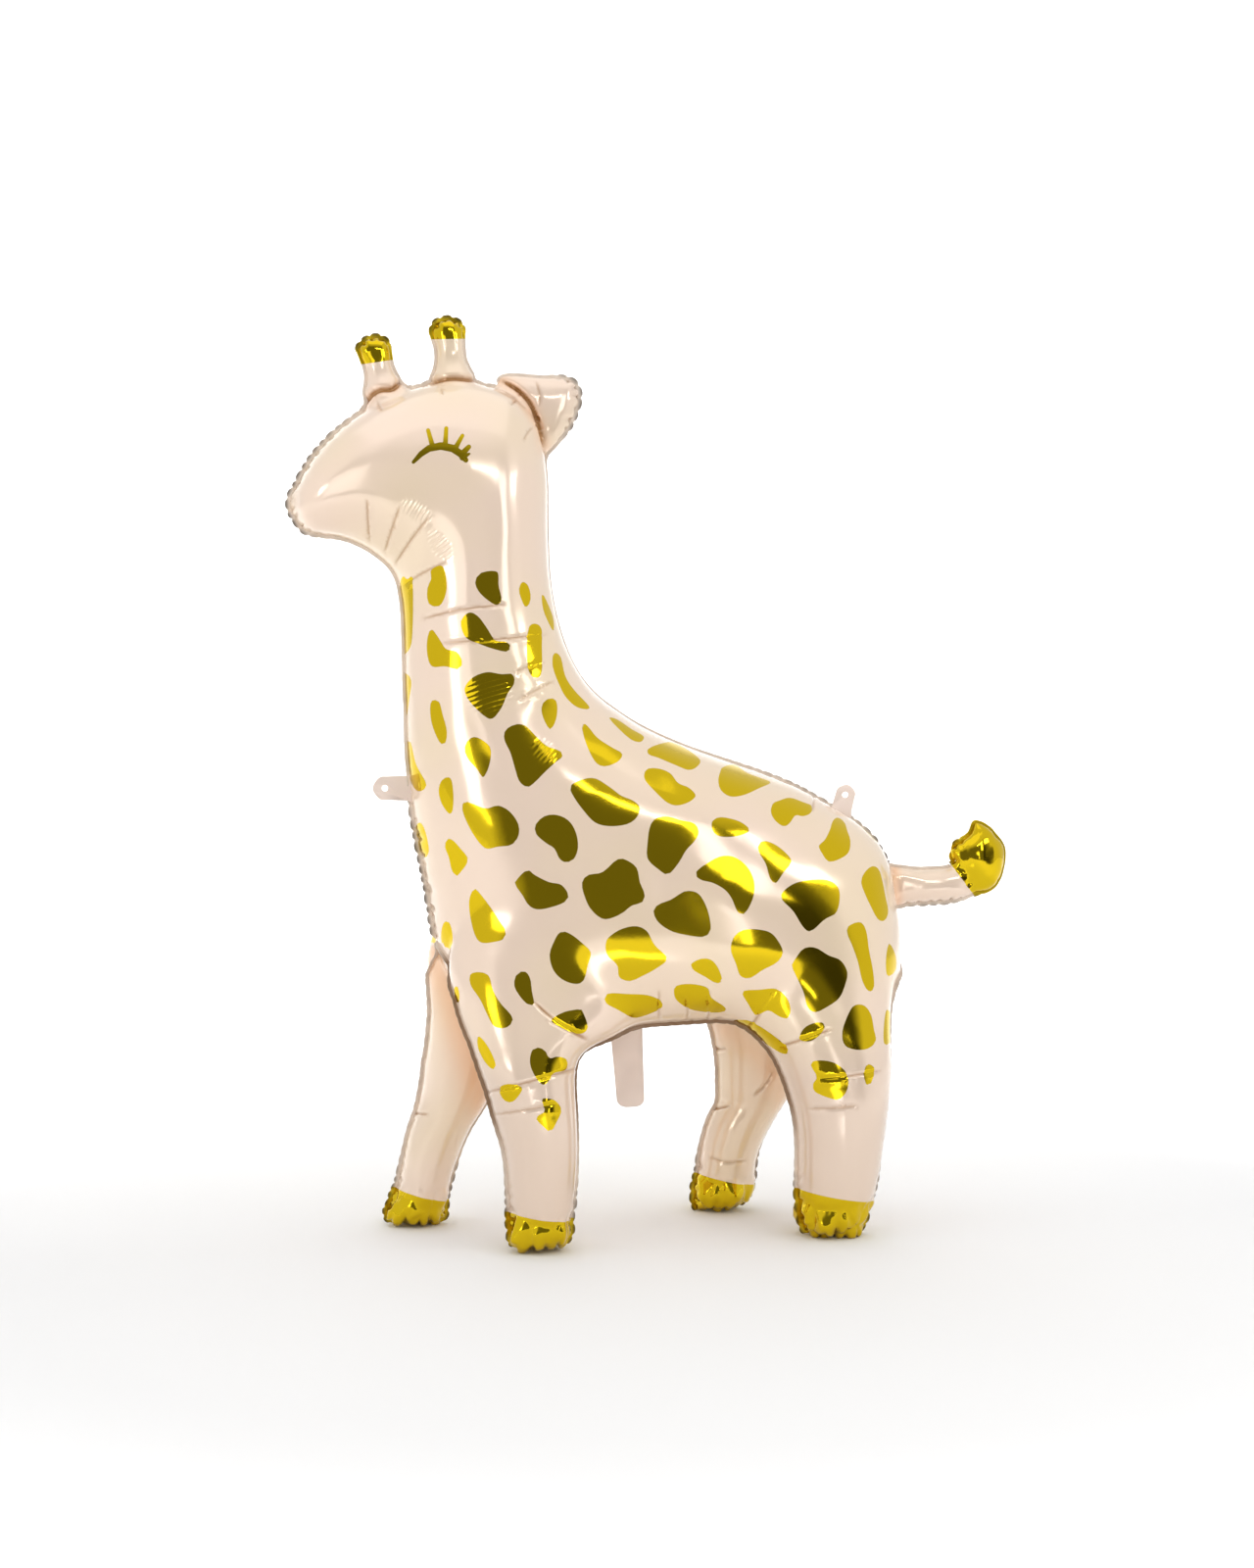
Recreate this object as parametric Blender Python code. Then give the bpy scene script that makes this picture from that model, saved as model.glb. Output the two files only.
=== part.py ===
"""Standing giraffe foil balloon, filled with air.

Two metallised film side panels are welded together round the head, neck, back, tail and chest, and open into
four leg tubes below the belly. The giraffe faces -X, stands on Z = 0, and its welded seam lies in the XZ plane.
Every length is in millimetres until a mesh is made.
"""

import math

import bmesh
import bpy
from mathutils import Vector

MM = 0.001

# The welded seam: a flat flange that sticks out past the tubes all round.
FLANGE = 6.0
FLANGE_THICKNESS = 1.6
FLANGE_LEAST = 1.0
# Where the tube is flatter than the flange, the flange takes this share of its half thickness.
FLANGE_SHARE = 0.9

# Stations of the head, neck and trunk, from the muzzle to the rump. Each one holds the throat or belly
# point (x, z), the crown or back point (x, z), the half thickness there, and how far the two flanges stick
# out, as shares of FLANGE.
TRUNK = (
    ((-403, 768), (-404, 784), 3, 0.2, 0.2),
    ((-401, 761), (-403, 794), 22, 1, 1),
    ((-394, 748), (-396, 808), 36, 1, 1),
    ((-376, 741), (-380, 834), 48, 1, 1),
    ((-350, 738), (-348, 867), 58, 1, 1),
    ((-326, 729), (-305, 896), 64, 1, 1),
    ((-309, 717), (-258, 913), 68, 1, 1),
    ((-300, 709), (-205, 917), 70, 1, 1),
    ((-294, 698), (-160, 903), 72, 1, 1),
    ((-291, 684), (-132, 868), 73, 1, 1),
    ((-289, 664), (-123, 815), 74, 1, 1),
    ((-288, 632), (-122, 752), 75, 1, 1),
    ((-287, 596), (-118, 696), 76, 1, 1),
    ((-286, 560), (-105, 641), 79, 1, 1),
    ((-285, 526), (-79, 594), 84, 1, 1),
    ((-282, 492), (-38, 562), 92, 1, 1),
    ((-278, 452), (8, 539), 101, 1, 1),
    ((-270, 408), (56, 521), 109, 1, 1),
    ((-262, 364), (106, 505), 115, 1, 1),
    ((-252, 316), (154, 487), 119, 0.8, 1),
    ((-228, 268), (192, 467), 121, 0.2, 1),
    ((-180, 234), (227, 446), 121, 0.2, 1),
    ((-110, 220), (252, 423), 119, 0.2, 1),
    ((-35, 218), (266, 395), 116, 0.2, 1),
    ((35, 221), (272, 362), 111, 0.2, 1),
    ((100, 224), (276, 326), 103, 0.2, 1),
    ((160, 226), (275, 294), 90, 0.2, 1),
    ((205, 230), (270, 270), 68, 0.2, 0.6),
    ((230, 238), (260, 256), 34, 0.2, 0.2),
)
TRUNK_STEPS = 2
TRUNK_ARC = 11
# The power that fills out the lower flanks, where the belly's own panel spreads the two sides: 1 is an ellipse.
BELLY_FULLNESS = 0.72

# Rings of each leg, from the flat sole up into the trunk: height, front edge, back edge, distance of the ring's
# centre from the seam plane, and half thickness. The far legs stand in front of the near ones, mid stride.
SIDES = {"near": -1, "far": 1}
LEGS = {
    "near_front": (
        (0, -184, -120, 82, 23),
        (7, -190, -113, 82, 33),
        (20, -191, -112, 82, 38),
        (43, -190, -112, 82, 39),
        (75, -192, -108, 82, 41),
        (107, -196, -107, 81, 43),
        (140, -206, -107, 79, 45),
        (170, -214, -108, 76, 48),
        (192, -219, -106, 73, 50),
        (203, -222, -102, 71, 52),
        (210, -224, -88, 69, 53),
        (217, -227, -54, 67, 53),
        (232, -232, -40, 63, 54),
        (262, -238, -40, 57, 55),
        (300, -236, -44, 50, 54),
        (340, -218, -80, 38, 46),
    ),
    "near_rear": (
        (0, 134, 202, 82, 23),
        (7, 126, 211, 82, 34),
        (20, 124, 214, 82, 40),
        (50, 123, 222, 82, 43),
        (75, 123, 227, 82, 45),
        (105, 123, 232, 81, 47),
        (134, 120, 237, 79, 49),
        (169, 110, 242, 75, 52),
        (196, 97, 245, 70, 55),
        (216, 78, 248, 66, 56),
        (236, 56, 251, 61, 57),
        (270, 46, 252, 54, 57),
        (320, 70, 240, 40, 50),
    ),
    "far_front": (
        (0, -288, -228, 82, 23),
        (7, -297, -219, 82, 32),
        (22, -296, -216, 82, 36),
        (44, -284, -214, 82, 37),
        (77, -277, -204, 81, 39),
        (104, -271, -192, 79, 41),
        (126, -264, -178, 77, 43),
        (150, -259, -166, 75, 46),
        (176, -256, -154, 72, 48),
        (200, -254, -142, 69, 51),
        (235, -253, -125, 63, 54),
        (270, -251, -110, 55, 56),
        (306, -246, -100, 45, 54),
        (340, -226, -110, 36, 44),
    ),
    "far_rear": (
        (0, 62, 118, 82, 22),
        (7, 53, 126, 82, 31),
        (20, 52, 133, 82, 36),
        (44, 59, 137, 82, 37),
        (69, 62, 142, 82, 39),
        (103, 71, 160, 80, 42),
        (125, 83, 174, 78, 44),
        (135, 81, 180, 77, 46),
        (178, 79, 200, 74, 51),
        (205, 70, 216, 70, 54),
        (240, 62, 236, 62, 57),
        (280, 60, 250, 52, 57),
        (320, 80, 246, 40, 48),
    ),
}
LEG_STEPS = 1
LEG_ARC = 8

# Horns: lower and upper end of the axis (x, z), and half widths along it as (share of length, half width).
HORNS = {
    "front_horn": ((-299, 884), (-318, 962)),
    "rear_horn": ((-228, 900), (-237, 986)),
}
HORN_SHAPE = ((0, 27), (0.22, 25), (0.42, 19), (0.62, 18), (0.74, 20), (0.88, 20), (0.97, 13), (1.0, 7))
HORN_THICKNESS = 0.85
HORN_ARC = 6

# Pillow-shaped lobes: their outlines (x, z) in order, and the half thickness in the middle.
EAR = (
    (-182, 912),
    (-172, 925),
    (-140, 924),
    (-104, 923),
    (-90, 912),
    (-94, 886),
    (-110, 856),
    (-128, 838),
    (-140, 862),
)
EAR_HALF = 15
TAIL = ((255, 390), (300, 389), (345, 390), (362, 378), (368, 360), (345, 352), (300, 350), (255, 350))
TAIL_HALF = 17
TUFT = (
    (336, 410),
    (352, 422),
    (364, 432),
    (365, 447),
    (388, 434),
    (404, 412),
    (403, 384),
    (390, 363),
    (366, 360),
    (348, 380),
)
TUFT_HALF = 20
LOBE_POINTS = 40
LOBE_LOOPS = 5
# A lobe's two panels, as shares of its outline: where they meet the flange, and the flat patch in the middle.
LOBE_PANEL = 0.96
LOBE_MIDDLE = 0.06

# Hanging tabs: flat tongues left on the seam, at the chest and on the back.
TAB_THICKNESS = 2.0
CHEST_TAB = {"root": (-272, 479.5), "angle": 180.0, "length": 43.0, "width": 25.0}
BACK_TAB = {"root": (206, 448.0), "angle": 74.0, "length": 36.0, "width": 22.0}
TAB_ROOT_SPREAD = 3.0
TAB_ROUND_POINTS = 10

# The filling valve's strip hangs from the belly, clear of the envelope by CLEARANCE.
STRIP_TOP = (-57.0, -21.0)
STRIP_BOTTOM = (-49.0, -19.0)
STRIP_LOW = 133.0
STRIP_CORNER = 8.0
STRIP_CORNER_STEPS = 4
STRIP_THICKNESS = 1.5
CLEARANCE = 0.3

# Finishes: colour, roughness and metallic value.
CREAM_FOIL = ((0.86, 0.72, 0.6), 0.28, 0.9)
PINK_FILM = ((0.8, 0.62, 0.52), 0.4, 0.2)


def clear_scene():
    for obj in list(bpy.data.objects):
        bpy.data.objects.remove(obj, do_unlink=True)


def material(name, color, roughness, metallic):
    made = bpy.data.materials.new(name)
    made.use_nodes = True
    shader = made.node_tree.nodes["Principled BSDF"]
    shader.inputs["Base Color"].default_value = (*color, 1.0)
    shader.inputs["Roughness"].default_value = roughness
    shader.inputs["Metallic"].default_value = metallic
    return made


def flat(row):
    """A station's numbers as one list, so that they can be blended."""
    numbers = []
    for item in row:
        numbers.extend(item if isinstance(item, tuple) else (item,))
    return numbers


def smooth_rows(rows, steps):
    """Catmull-Rom rows through the given ones, with steps intervals between each two."""
    rows = [flat(row) for row in rows]
    made = []
    for i in range(len(rows) - 1):
        before = rows[max(i - 1, 0)]
        start, end = rows[i], rows[i + 1]
        after = rows[min(i + 2, len(rows) - 1)]
        for step in range(steps):
            t = step / steps
            made.append(
                [
                    b + 0.5 * t * (c - a + t * (2 * a - 5 * b + 4 * c - d + t * (3 * (b - c) + d - a)))
                    for a, b, c, d in zip(before, start, end, after)
                ]
            )
    made.append(rows[-1])
    return made


def smooth_loop(points, count):
    """A closed Catmull-Rom outline through the points, as count points."""
    made = []
    for k in range(count):
        at = k * len(points) / count
        i = int(at)
        t = at - i
        a, b, c, d = (Vector(points[(i + step) % len(points)]) for step in (-1, 0, 1, 2))
        made.append(b + 0.5 * t * (c - a + t * (2 * a - 5 * b + 4 * c - d + t * (3 * (b - c) + d - a))))
    return made


def mesh_object(name, mesh_of, collection):
    """An object from a bmesh that the function mesh_of fills, in millimetres."""
    shape = bmesh.new()
    mesh_of(shape)
    bmesh.ops.scale(shape, vec=(MM, MM, MM), verts=shape.verts)
    bmesh.ops.recalc_face_normals(shape, faces=shape.faces)
    mesh = bpy.data.meshes.new(name)
    shape.to_mesh(mesh)
    shape.free()
    obj = bpy.data.objects.new(name, mesh)
    collection.objects.link(obj)
    return obj


def skin_rings(shape, rings):
    """Faces between rings of as many points each, and a cap at either end."""
    loops = [[shape.verts.new(point) for point in ring] for ring in rings]
    for low, high in zip(loops, loops[1:]):
        for k in range(len(low)):
            after = (k + 1) % len(low)
            shape.faces.new((low[k], low[after], high[after], high[k]))
    shape.faces.new(loops[0])
    shape.faces.new(loops[-1])


def welded_ring(edge_a, edge_b, tip_a, tip_b, side, half, arc, fullness=1.0):
    """A ring of two bulging panels between edge_a and edge_b, with a flat flange out to tip_a and tip_b.

    side is the unit direction in which the panels bulge, by half. fullness is the power on the half that runs
    to edge_a.
    """
    thin = min(FLANGE_THICKNESS / 2, half * FLANGE_SHARE)
    start = math.asin(thin / half)
    middle = (edge_a + edge_b) / 2
    reach = (edge_b - edge_a) / 2
    ring = []
    for sign, near_tip, far_tip in ((1, tip_b, tip_a), (-1, tip_a, tip_b)):
        ring.append(near_tip + side * thin * sign)
        for k in range(arc + 1):
            angle = start + (math.pi - 2 * start) * k / arc
            along = math.cos(angle) * sign
            if along < 0:
                along = -((-along) ** fullness)
            ring.append(middle + reach * along + side * half * math.sin(angle) * sign)
        ring.append(far_tip + side * thin * sign)
    return ring


def outward(points, i, inside):
    """The direction that leaves the outline at point i, square to it and away from the point inside."""
    along = points[min(i + 1, len(points) - 1)] - points[max(i - 1, 0)]
    across = Vector((along.z, 0, -along.x)).normalized()
    return across if across.dot(points[i] - inside) > 0 else -across


def trunk_rings():
    rows = smooth_rows(TRUNK, TRUNK_STEPS)
    fronts = [Vector((row[0], 0, row[1])) for row in rows]
    backs = [Vector((row[2], 0, row[3])) for row in rows]
    side = Vector((0, 1, 0))
    rings = []
    for i, row in enumerate(rows):
        middle = (fronts[i] + backs[i]) / 2
        flange_a = max(FLANGE * row[5], FLANGE_LEAST)
        flange_b = max(FLANGE * row[6], FLANGE_LEAST)
        edge_a = fronts[i] - outward(fronts, i, middle) * flange_a
        edge_b = backs[i] - outward(backs, i, middle) * flange_b
        fullness = BELLY_FULLNESS + (1 - BELLY_FULLNESS) * row[5]
        rings.append(welded_ring(edge_a, edge_b, fronts[i], backs[i], side, row[4], TRUNK_ARC, fullness))
    return rings


def leg_rings(rows, side_sign):
    rings = []
    for z, front, back, across, half in smooth_rows(rows, LEG_STEPS):
        y = side_sign * across
        tip_a = Vector((front, y, z))
        tip_b = Vector((back, y, z))
        inset = Vector((FLANGE, 0, 0))
        rings.append(welded_ring(tip_a + inset, tip_b - inset, tip_a, tip_b, Vector((0, 1, 0)), half, LEG_ARC))
    return rings


def horn_rings(low, high):
    low = Vector((low[0], 0, low[1]))
    axis = Vector((high[0], 0, high[1])) - low
    across = Vector((axis.z, 0, -axis.x)).normalized()
    rings = []
    for share, half in HORN_SHAPE:
        centre = low + axis * share
        tip_a = centre - across * half
        tip_b = centre + across * half
        flange = FLANGE / 2
        edge_a = tip_a + across * flange
        edge_b = tip_b - across * flange
        thick = (half - flange) * HORN_THICKNESS
        rings.append(welded_ring(edge_a, edge_b, tip_a, tip_b, Vector((0, 1, 0)), thick, HORN_ARC))
    return rings


def fill_lobe(shape, outline, half):
    """A pillow over the outline: loops that shrink towards its middle on both sides, round a thin flange."""
    loop = [Vector((p.x, 0, p.y)) for p in smooth_loop(outline, LOBE_POINTS)]
    middle = sum(loop, Vector()) / len(loop)
    thin = Vector((0, FLANGE_THICKNESS / 2, 0))
    rings = []
    for k in range(LOBE_LOOPS, 0, -1):
        rise = math.sin(math.pi / 2 * k / LOBE_LOOPS)
        shrink = LOBE_MIDDLE + (LOBE_PANEL - LOBE_MIDDLE) * math.cos(math.pi / 2 * k / LOBE_LOOPS)
        rings.append([middle + (p - middle) * shrink + Vector((0, half * rise, 0)) for p in loop])
    flange = [middle + (p - middle) * LOBE_PANEL + thin for p in loop]
    rings += [flange, [p + thin for p in loop]]
    mirrored = [[Vector((p.x, -p.y, p.z)) for p in ring] for ring in reversed(rings)]
    skin_rings(shape, rings + mirrored)


def fill_tab(shape, root, angle, length, width):
    """A flat tongue with a round end, from its root along the angle in degrees."""
    along = Vector((math.cos(math.radians(angle)), 0, math.sin(math.radians(angle))))
    across = Vector((-along.z, 0, along.x))
    foot = Vector((root[0], 0, root[1]))
    radius = width / 2
    outline = [foot - across * (radius + TAB_ROOT_SPREAD), foot + across * (radius + TAB_ROOT_SPREAD)]
    for k in range(TAB_ROUND_POINTS + 1):
        turn = math.pi * k / TAB_ROUND_POINTS
        outline.append(
            foot + along * (length - radius + radius * math.sin(turn)) + across * radius * math.cos(turn)
        )
    half = Vector((0, TAB_THICKNESS / 2, 0))
    skin_rings(shape, [[p - half for p in outline], [p + half for p in outline]])


def envelope_shapes(helpers):
    """The lofts and lobes that the envelope is made of, overlapping where they really run together."""
    shapes = [mesh_object("trunk", lambda shape: skin_rings(shape, trunk_rings()), helpers)]
    for name, rows in LEGS.items():
        sign = SIDES[name.split("_")[0]]
        shapes.append(mesh_object(f"{name}_leg", lambda shape: skin_rings(shape, leg_rings(rows, sign)), helpers))
    for name, (low, high) in HORNS.items():
        shapes.append(mesh_object(name, lambda shape: skin_rings(shape, horn_rings(low, high)), helpers))
    for name, outline, half in (("ear", EAR, EAR_HALF), ("tail", TAIL, TAIL_HALF), ("tuft", TUFT, TUFT_HALF)):
        shapes.append(mesh_object(name, lambda shape: fill_lobe(shape, outline, half), helpers))
    for name, tab in (("chest_tab", CHEST_TAB), ("back_tab", BACK_TAB)):
        shapes.append(mesh_object(name, lambda shape: fill_tab(shape, **tab), helpers))
    return shapes


def build_envelope(parts, helpers, foil):
    shapes = envelope_shapes(helpers)
    body = shapes[0].copy()
    body.data = shapes[0].data.copy()
    body.name = "foil_envelope"
    parts.objects.link(body)
    body.data.materials.append(foil)
    for shape in shapes[1:]:
        join = body.modifiers.new(f"join {shape.name}", "BOOLEAN")
        join.operation = "UNION"
        join.solver = "EXACT"
        join.object = shape
    body.data.shade_smooth()
    return body


def build_strip(parts, film):
    """The flat strip of the filling valve, from just below the belly down to a rounded end."""
    top = min(point.z for ring in trunk_rings() for point in ring) - CLEARANCE
    outline = [Vector((STRIP_TOP[0], 0, top)), Vector((STRIP_TOP[1], 0, top))]
    corners = ((STRIP_BOTTOM[1] - STRIP_CORNER, 0.0), (STRIP_BOTTOM[0] + STRIP_CORNER, -90.0))
    for x, start in corners:
        centre = Vector((x, 0, STRIP_LOW + STRIP_CORNER))
        for k in range(STRIP_CORNER_STEPS + 1):
            turn = math.radians(start - 90.0 * k / STRIP_CORNER_STEPS)
            outline.append(centre + STRIP_CORNER * Vector((math.cos(turn), 0, math.sin(turn))))
    half = Vector((0, STRIP_THICKNESS / 2, 0))
    strip = mesh_object(
        "filling_strip",
        lambda shape: skin_rings(shape, [[p - half for p in outline], [p + half for p in outline]]),
        parts,
    )
    strip.data.materials.append(film)
    return strip


def stand_on_origin(parts, helpers):
    """Hangs every object on one empty, set so that the balloon's box stands centred over the origin."""
    corners = [Vector(corner) for shape in helpers.objects for corner in shape.bound_box]
    low = Vector(min(corner[axis] for corner in corners) for axis in range(3))
    high = Vector(max(corner[axis] for corner in corners) for axis in range(3))
    ground = bpy.data.objects.new("ground_point", None)
    ground.location = (-(low.x + high.x) / 2, -(low.y + high.y) / 2, -low.z)
    parts.objects.link(ground)
    for obj in [*parts.objects, *helpers.objects]:
        if obj is not ground:
            obj.parent = ground


def main():
    clear_scene()
    scene = bpy.context.scene
    parts = bpy.data.collections.new("giraffe_foil_balloon")
    helpers = bpy.data.collections.new("shapes_to_join")
    scene.collection.children.link(parts)
    scene.collection.children.link(helpers)
    build_envelope(parts, helpers, material("cream_foil", *CREAM_FOIL))
    build_strip(parts, material("pink_film", *PINK_FILM))
    bpy.context.view_layer.update()
    stand_on_origin(parts, helpers)
    for obj in helpers.objects:
        obj.hide_render = True
        obj.display_type = "WIRE"


if __name__ == "__main__":
    main()
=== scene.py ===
"""Standing giraffe foil balloon: its film skin, welded seams, hanging tabs, filling strip and studio.

The skin repeats the sizes of the part's own source, in millimetres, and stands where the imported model
stands. Printed gold spots, the closed eye and the creases are drawn in the photograph's frame, 1280 by
1600, and are carried onto the skin along the camera's lines of sight; the far side carries the same print,
mirrored.
"""

import math
import random

import bpy
import numpy as np
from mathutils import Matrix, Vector, kdtree, noise
from mathutils.bvhtree import BVHTree


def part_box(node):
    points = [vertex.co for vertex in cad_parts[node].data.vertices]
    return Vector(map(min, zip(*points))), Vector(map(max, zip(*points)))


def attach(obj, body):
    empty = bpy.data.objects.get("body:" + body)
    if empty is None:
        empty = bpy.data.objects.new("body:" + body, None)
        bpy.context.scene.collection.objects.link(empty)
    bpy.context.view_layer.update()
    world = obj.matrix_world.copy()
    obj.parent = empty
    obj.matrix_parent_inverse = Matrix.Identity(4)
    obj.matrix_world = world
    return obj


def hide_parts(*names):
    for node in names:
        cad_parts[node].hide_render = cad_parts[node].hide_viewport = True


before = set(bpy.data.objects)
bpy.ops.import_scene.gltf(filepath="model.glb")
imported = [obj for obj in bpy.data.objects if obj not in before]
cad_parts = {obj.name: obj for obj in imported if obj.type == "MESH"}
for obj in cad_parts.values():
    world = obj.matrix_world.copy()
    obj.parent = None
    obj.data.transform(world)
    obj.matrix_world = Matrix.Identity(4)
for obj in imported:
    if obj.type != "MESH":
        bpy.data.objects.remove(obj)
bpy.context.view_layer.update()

bl_info = {
    "name": "Giraffe Foil Balloon",
    "version": (1, 0, 0),
    "blender": (4, 5, 0),
    "location": "View3D > Sidebar > Giraffe Balloon",
    "description": "Dresses the standing giraffe foil balloon and its studio",
    "category": "Object",
}

MM = 0.001

# The part's own sizes. The raw tables' lowest corner is at RAW_LOW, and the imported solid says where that
# stands.
FLANGE = 6.0
LEAST_FLANGE = 0.17
BELLY_FULLNESS = 0.72
RAW_LOW = (-404.0, -128.0)
SOLID_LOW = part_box("foil_envelope")[0]
STAND = np.array((SOLID_LOW.x - RAW_LOW[0] * MM, SOLID_LOW.y - RAW_LOW[1] * MM, 0.0))

# Stations from the muzzle to the rump: throat or belly point (x, z), crown or back point (x, z), half
# thickness, the two flange shares, and how strongly the film puckers along the lower and the upper seam.
TRUNK = (
    ((-403, 768), (-404, 784), 3, 0.2, 0.2, 1.0, 1.0),
    ((-401, 761), (-403, 794), 22, 1, 1, 1.0, 1.0),
    ((-394, 748), (-396, 808), 36, 1, 1, 1.0, 1.0),
    ((-376, 741), (-380, 834), 48, 1, 1, 0.5, 0.9),
    ((-350, 738), (-348, 867), 58, 1, 1, 0.2, 0.6),
    ((-326, 729), (-305, 896), 64, 1, 1, 0.1, 0.4),
    ((-309, 717), (-258, 913), 68, 1, 1, 0.0, 0.4),
    ((-300, 709), (-205, 917), 70, 1, 1, 0.0, 0.4),
    ((-294, 698), (-160, 903), 72, 1, 1, 0.0, 0.4),
    ((-291, 684), (-132, 868), 73, 1, 1, 0.1, 0.3),
    ((-289, 664), (-123, 815), 74, 1, 1, 0.1, 0.1),
    ((-288, 632), (-122, 752), 75, 1, 1, 0.1, 0.1),
    ((-287, 596), (-118, 696), 76, 1, 1, 0.1, 0.0),
    ((-286, 560), (-105, 641), 79, 1, 1, 0.1, 0.0),
    ((-285, 526), (-79, 594), 84, 1, 1, 0.2, 0.0),
    ((-282, 492), (-38, 562), 92, 1, 1, 0.3, 0.0),
    ((-278, 452), (8, 539), 101, 1, 1, 0.8, 0.1),
    ((-270, 408), (56, 521), 109, 1, 1, 1.0, 0.15),
    ((-262, 364), (106, 505), 115, 1, 1, 1.0, 0.4),
    ((-252, 316), (154, 487), 119, 0.8, 1, 0.8, 0.6),
    ((-228, 268), (192, 467), 121, 0.2, 1, 0.2, 0.6),
    ((-180, 234), (227, 446), 121, 0.2, 1, 0.1, 0.6),
    ((-110, 220), (252, 423), 119, 0.2, 1, 0.1, 0.9),
    ((-35, 218), (266, 395), 116, 0.2, 1, 0.1, 1.0),
    ((35, 221), (272, 362), 111, 0.2, 1, 0.1, 1.0),
    ((100, 224), (276, 326), 103, 0.2, 1, 0.1, 1.0),
    ((160, 226), (275, 294), 90, 0.2, 1, 0.1, 0.8),
    ((205, 230), (270, 270), 68, 0.2, 0.6, 0.1, 0.4),
    ((230, 238), (260, 256), 34, 0.2, 0.2, 0.1, 0.2),
)
CHEST_SPLIT = 19
RUMP_SPLIT = 26

# Leg rings: height, front edge, back edge, distance of the centre from the seam plane, half thickness.
LEGS = {
    "near_front": (
        (0, -184, -120, 82, 23), (7, -190, -113, 82, 33), (20, -191, -112, 82, 38),
        (43, -190, -112, 82, 39), (75, -192, -108, 82, 41), (107, -196, -107, 81, 43),
        (140, -206, -107, 79, 45), (170, -214, -108, 76, 48), (192, -223, -106, 73, 50),
        (203, -227, -102, 71, 52), (210, -230, -88, 69, 53), (217, -233, -54, 67, 53),
        (232, -239, -40, 63, 54), (262, -246, -40, 57, 55), (300, -248, -44, 50, 54),
        (340, -234, -80, 38, 46),
    ),
    "near_rear": (
        (0, 134, 202, 82, 23), (7, 126, 211, 82, 34), (20, 124, 214, 82, 40), (50, 123, 222, 82, 43),
        (75, 123, 227, 82, 45), (105, 123, 232, 81, 47), (134, 120, 237, 79, 49), (169, 110, 242, 75, 52),
        (196, 97, 245, 70, 55), (216, 78, 248, 66, 56), (236, 56, 251, 61, 57), (270, 46, 252, 54, 57),
        (320, 70, 240, 40, 50),
    ),
    "far_front": (
        (0, -288, -228, 82, 23), (7, -297, -219, 82, 32), (22, -296, -216, 82, 36),
        (44, -284, -214, 82, 37), (77, -277, -204, 81, 39), (104, -271, -192, 79, 41),
        (126, -264, -178, 77, 43), (150, -259, -166, 75, 46), (176, -256, -154, 72, 48),
        (200, -254, -142, 69, 51), (235, -253, -125, 63, 54), (270, -255, -110, 55, 56),
        (306, -255, -100, 45, 54), (340, -243, -110, 36, 44),
    ),
    "far_rear": (
        (0, 62, 118, 82, 22), (7, 53, 126, 82, 31), (20, 52, 133, 82, 36), (44, 59, 137, 82, 37),
        (69, 62, 142, 82, 39), (103, 71, 160, 80, 42), (125, 83, 174, 78, 44), (135, 81, 180, 77, 46),
        (178, 79, 200, 74, 51), (205, 70, 216, 70, 54), (240, 62, 236, 62, 57), (280, 60, 250, 52, 57),
        (320, 80, 246, 40, 48),
    ),
}
SIDES = {"near": -1, "far": 1}
# The ring at which the belly panel's seam leaves each leg, and the rows that are put in between the tables'
# own.
BELLY_TURNS = {"near_front": 10, "far_front": 9, "near_rear": 10, "far_rear": 10}
TRUNK_STEPS = 4
LEG_STEPS = 3
# Height of the gold on each hoof at its front and back edge, and of the crumpled film there.
HOOF_TOPS = {"near_front": (42, 31), "near_rear": (53, 35), "far_front": (43, 24), "far_rear": (44, 27)}
HOOF_HEIGHT = 44

# Horns: the middle of the root and of the tip; then the shape as share of the length and half width.
HORNS = {"front_horn": ((-299, 884), (-318, 962)), "rear_horn": ((-228, 900), (-237, 986))}
HORN_SHAPE = ((0, 27), (0.22, 25), (0.42, 19), (0.62, 18), (0.74, 20), (0.88, 20), (0.97, 13), (1.0, 7))
HORN_THICKNESS = 0.85
HORN_STEPS = 4
# Flat pillows in the seam's plane: half thickness and outline.
LOBES = {
    "ear": (15, ((-182, 912), (-172, 925), (-140, 924), (-104, 923), (-90, 912), (-94, 886), (-110, 856),
        (-128, 838), (-140, 862))),
    "tail": (17, ((255, 390), (300, 389), (345, 390), (362, 378), (368, 360), (345, 352), (300, 350),
        (255, 350))),
    "tuft": (20, ((336, 410), (352, 422), (364, 432), (365, 447), (388, 434), (404, 412), (403, 384),
        (390, 363), (366, 360), (348, 380))),
}
LOBE_STEPS = 6
# Pucker of a lobe's calm and lively side, and where the lively side is, in degrees from the tail's direction.
LOBE_PUCKER = {"ear": (0.08, 0.9, 5.0), "tail": (0.1, 0.7, -90.0), "tuft": (0.12, 1.0, 205.0)}
# Hanging tabs: middle of the root, direction in degrees, length and width; then how much wider the root is,
# how far out that flare ends, and the points round the end and the hole.
CHEST_TAB = {"root": (-272, 479.5), "angle": 180.0, "length": 43.0, "width": 25.0}
BACK_TAB = {"root": (206, 448.0), "angle": 74.0, "length": 36.0, "width": 22.0}
TAB_FLARE = 3
TAB_NECK = 9
TAB_POINTS = 24
# The filling strip's edges at its top and its low end, that end's height and corners, and how far the top
# is tucked in.
STRIP_TOP = (-57.0, -21.0)
STRIP_BOTTOM = (-49.0, -19.0)
STRIP_LOW = 133.0
STRIP_CORNER = 9.0
STRIP_TUCK = 6

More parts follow.
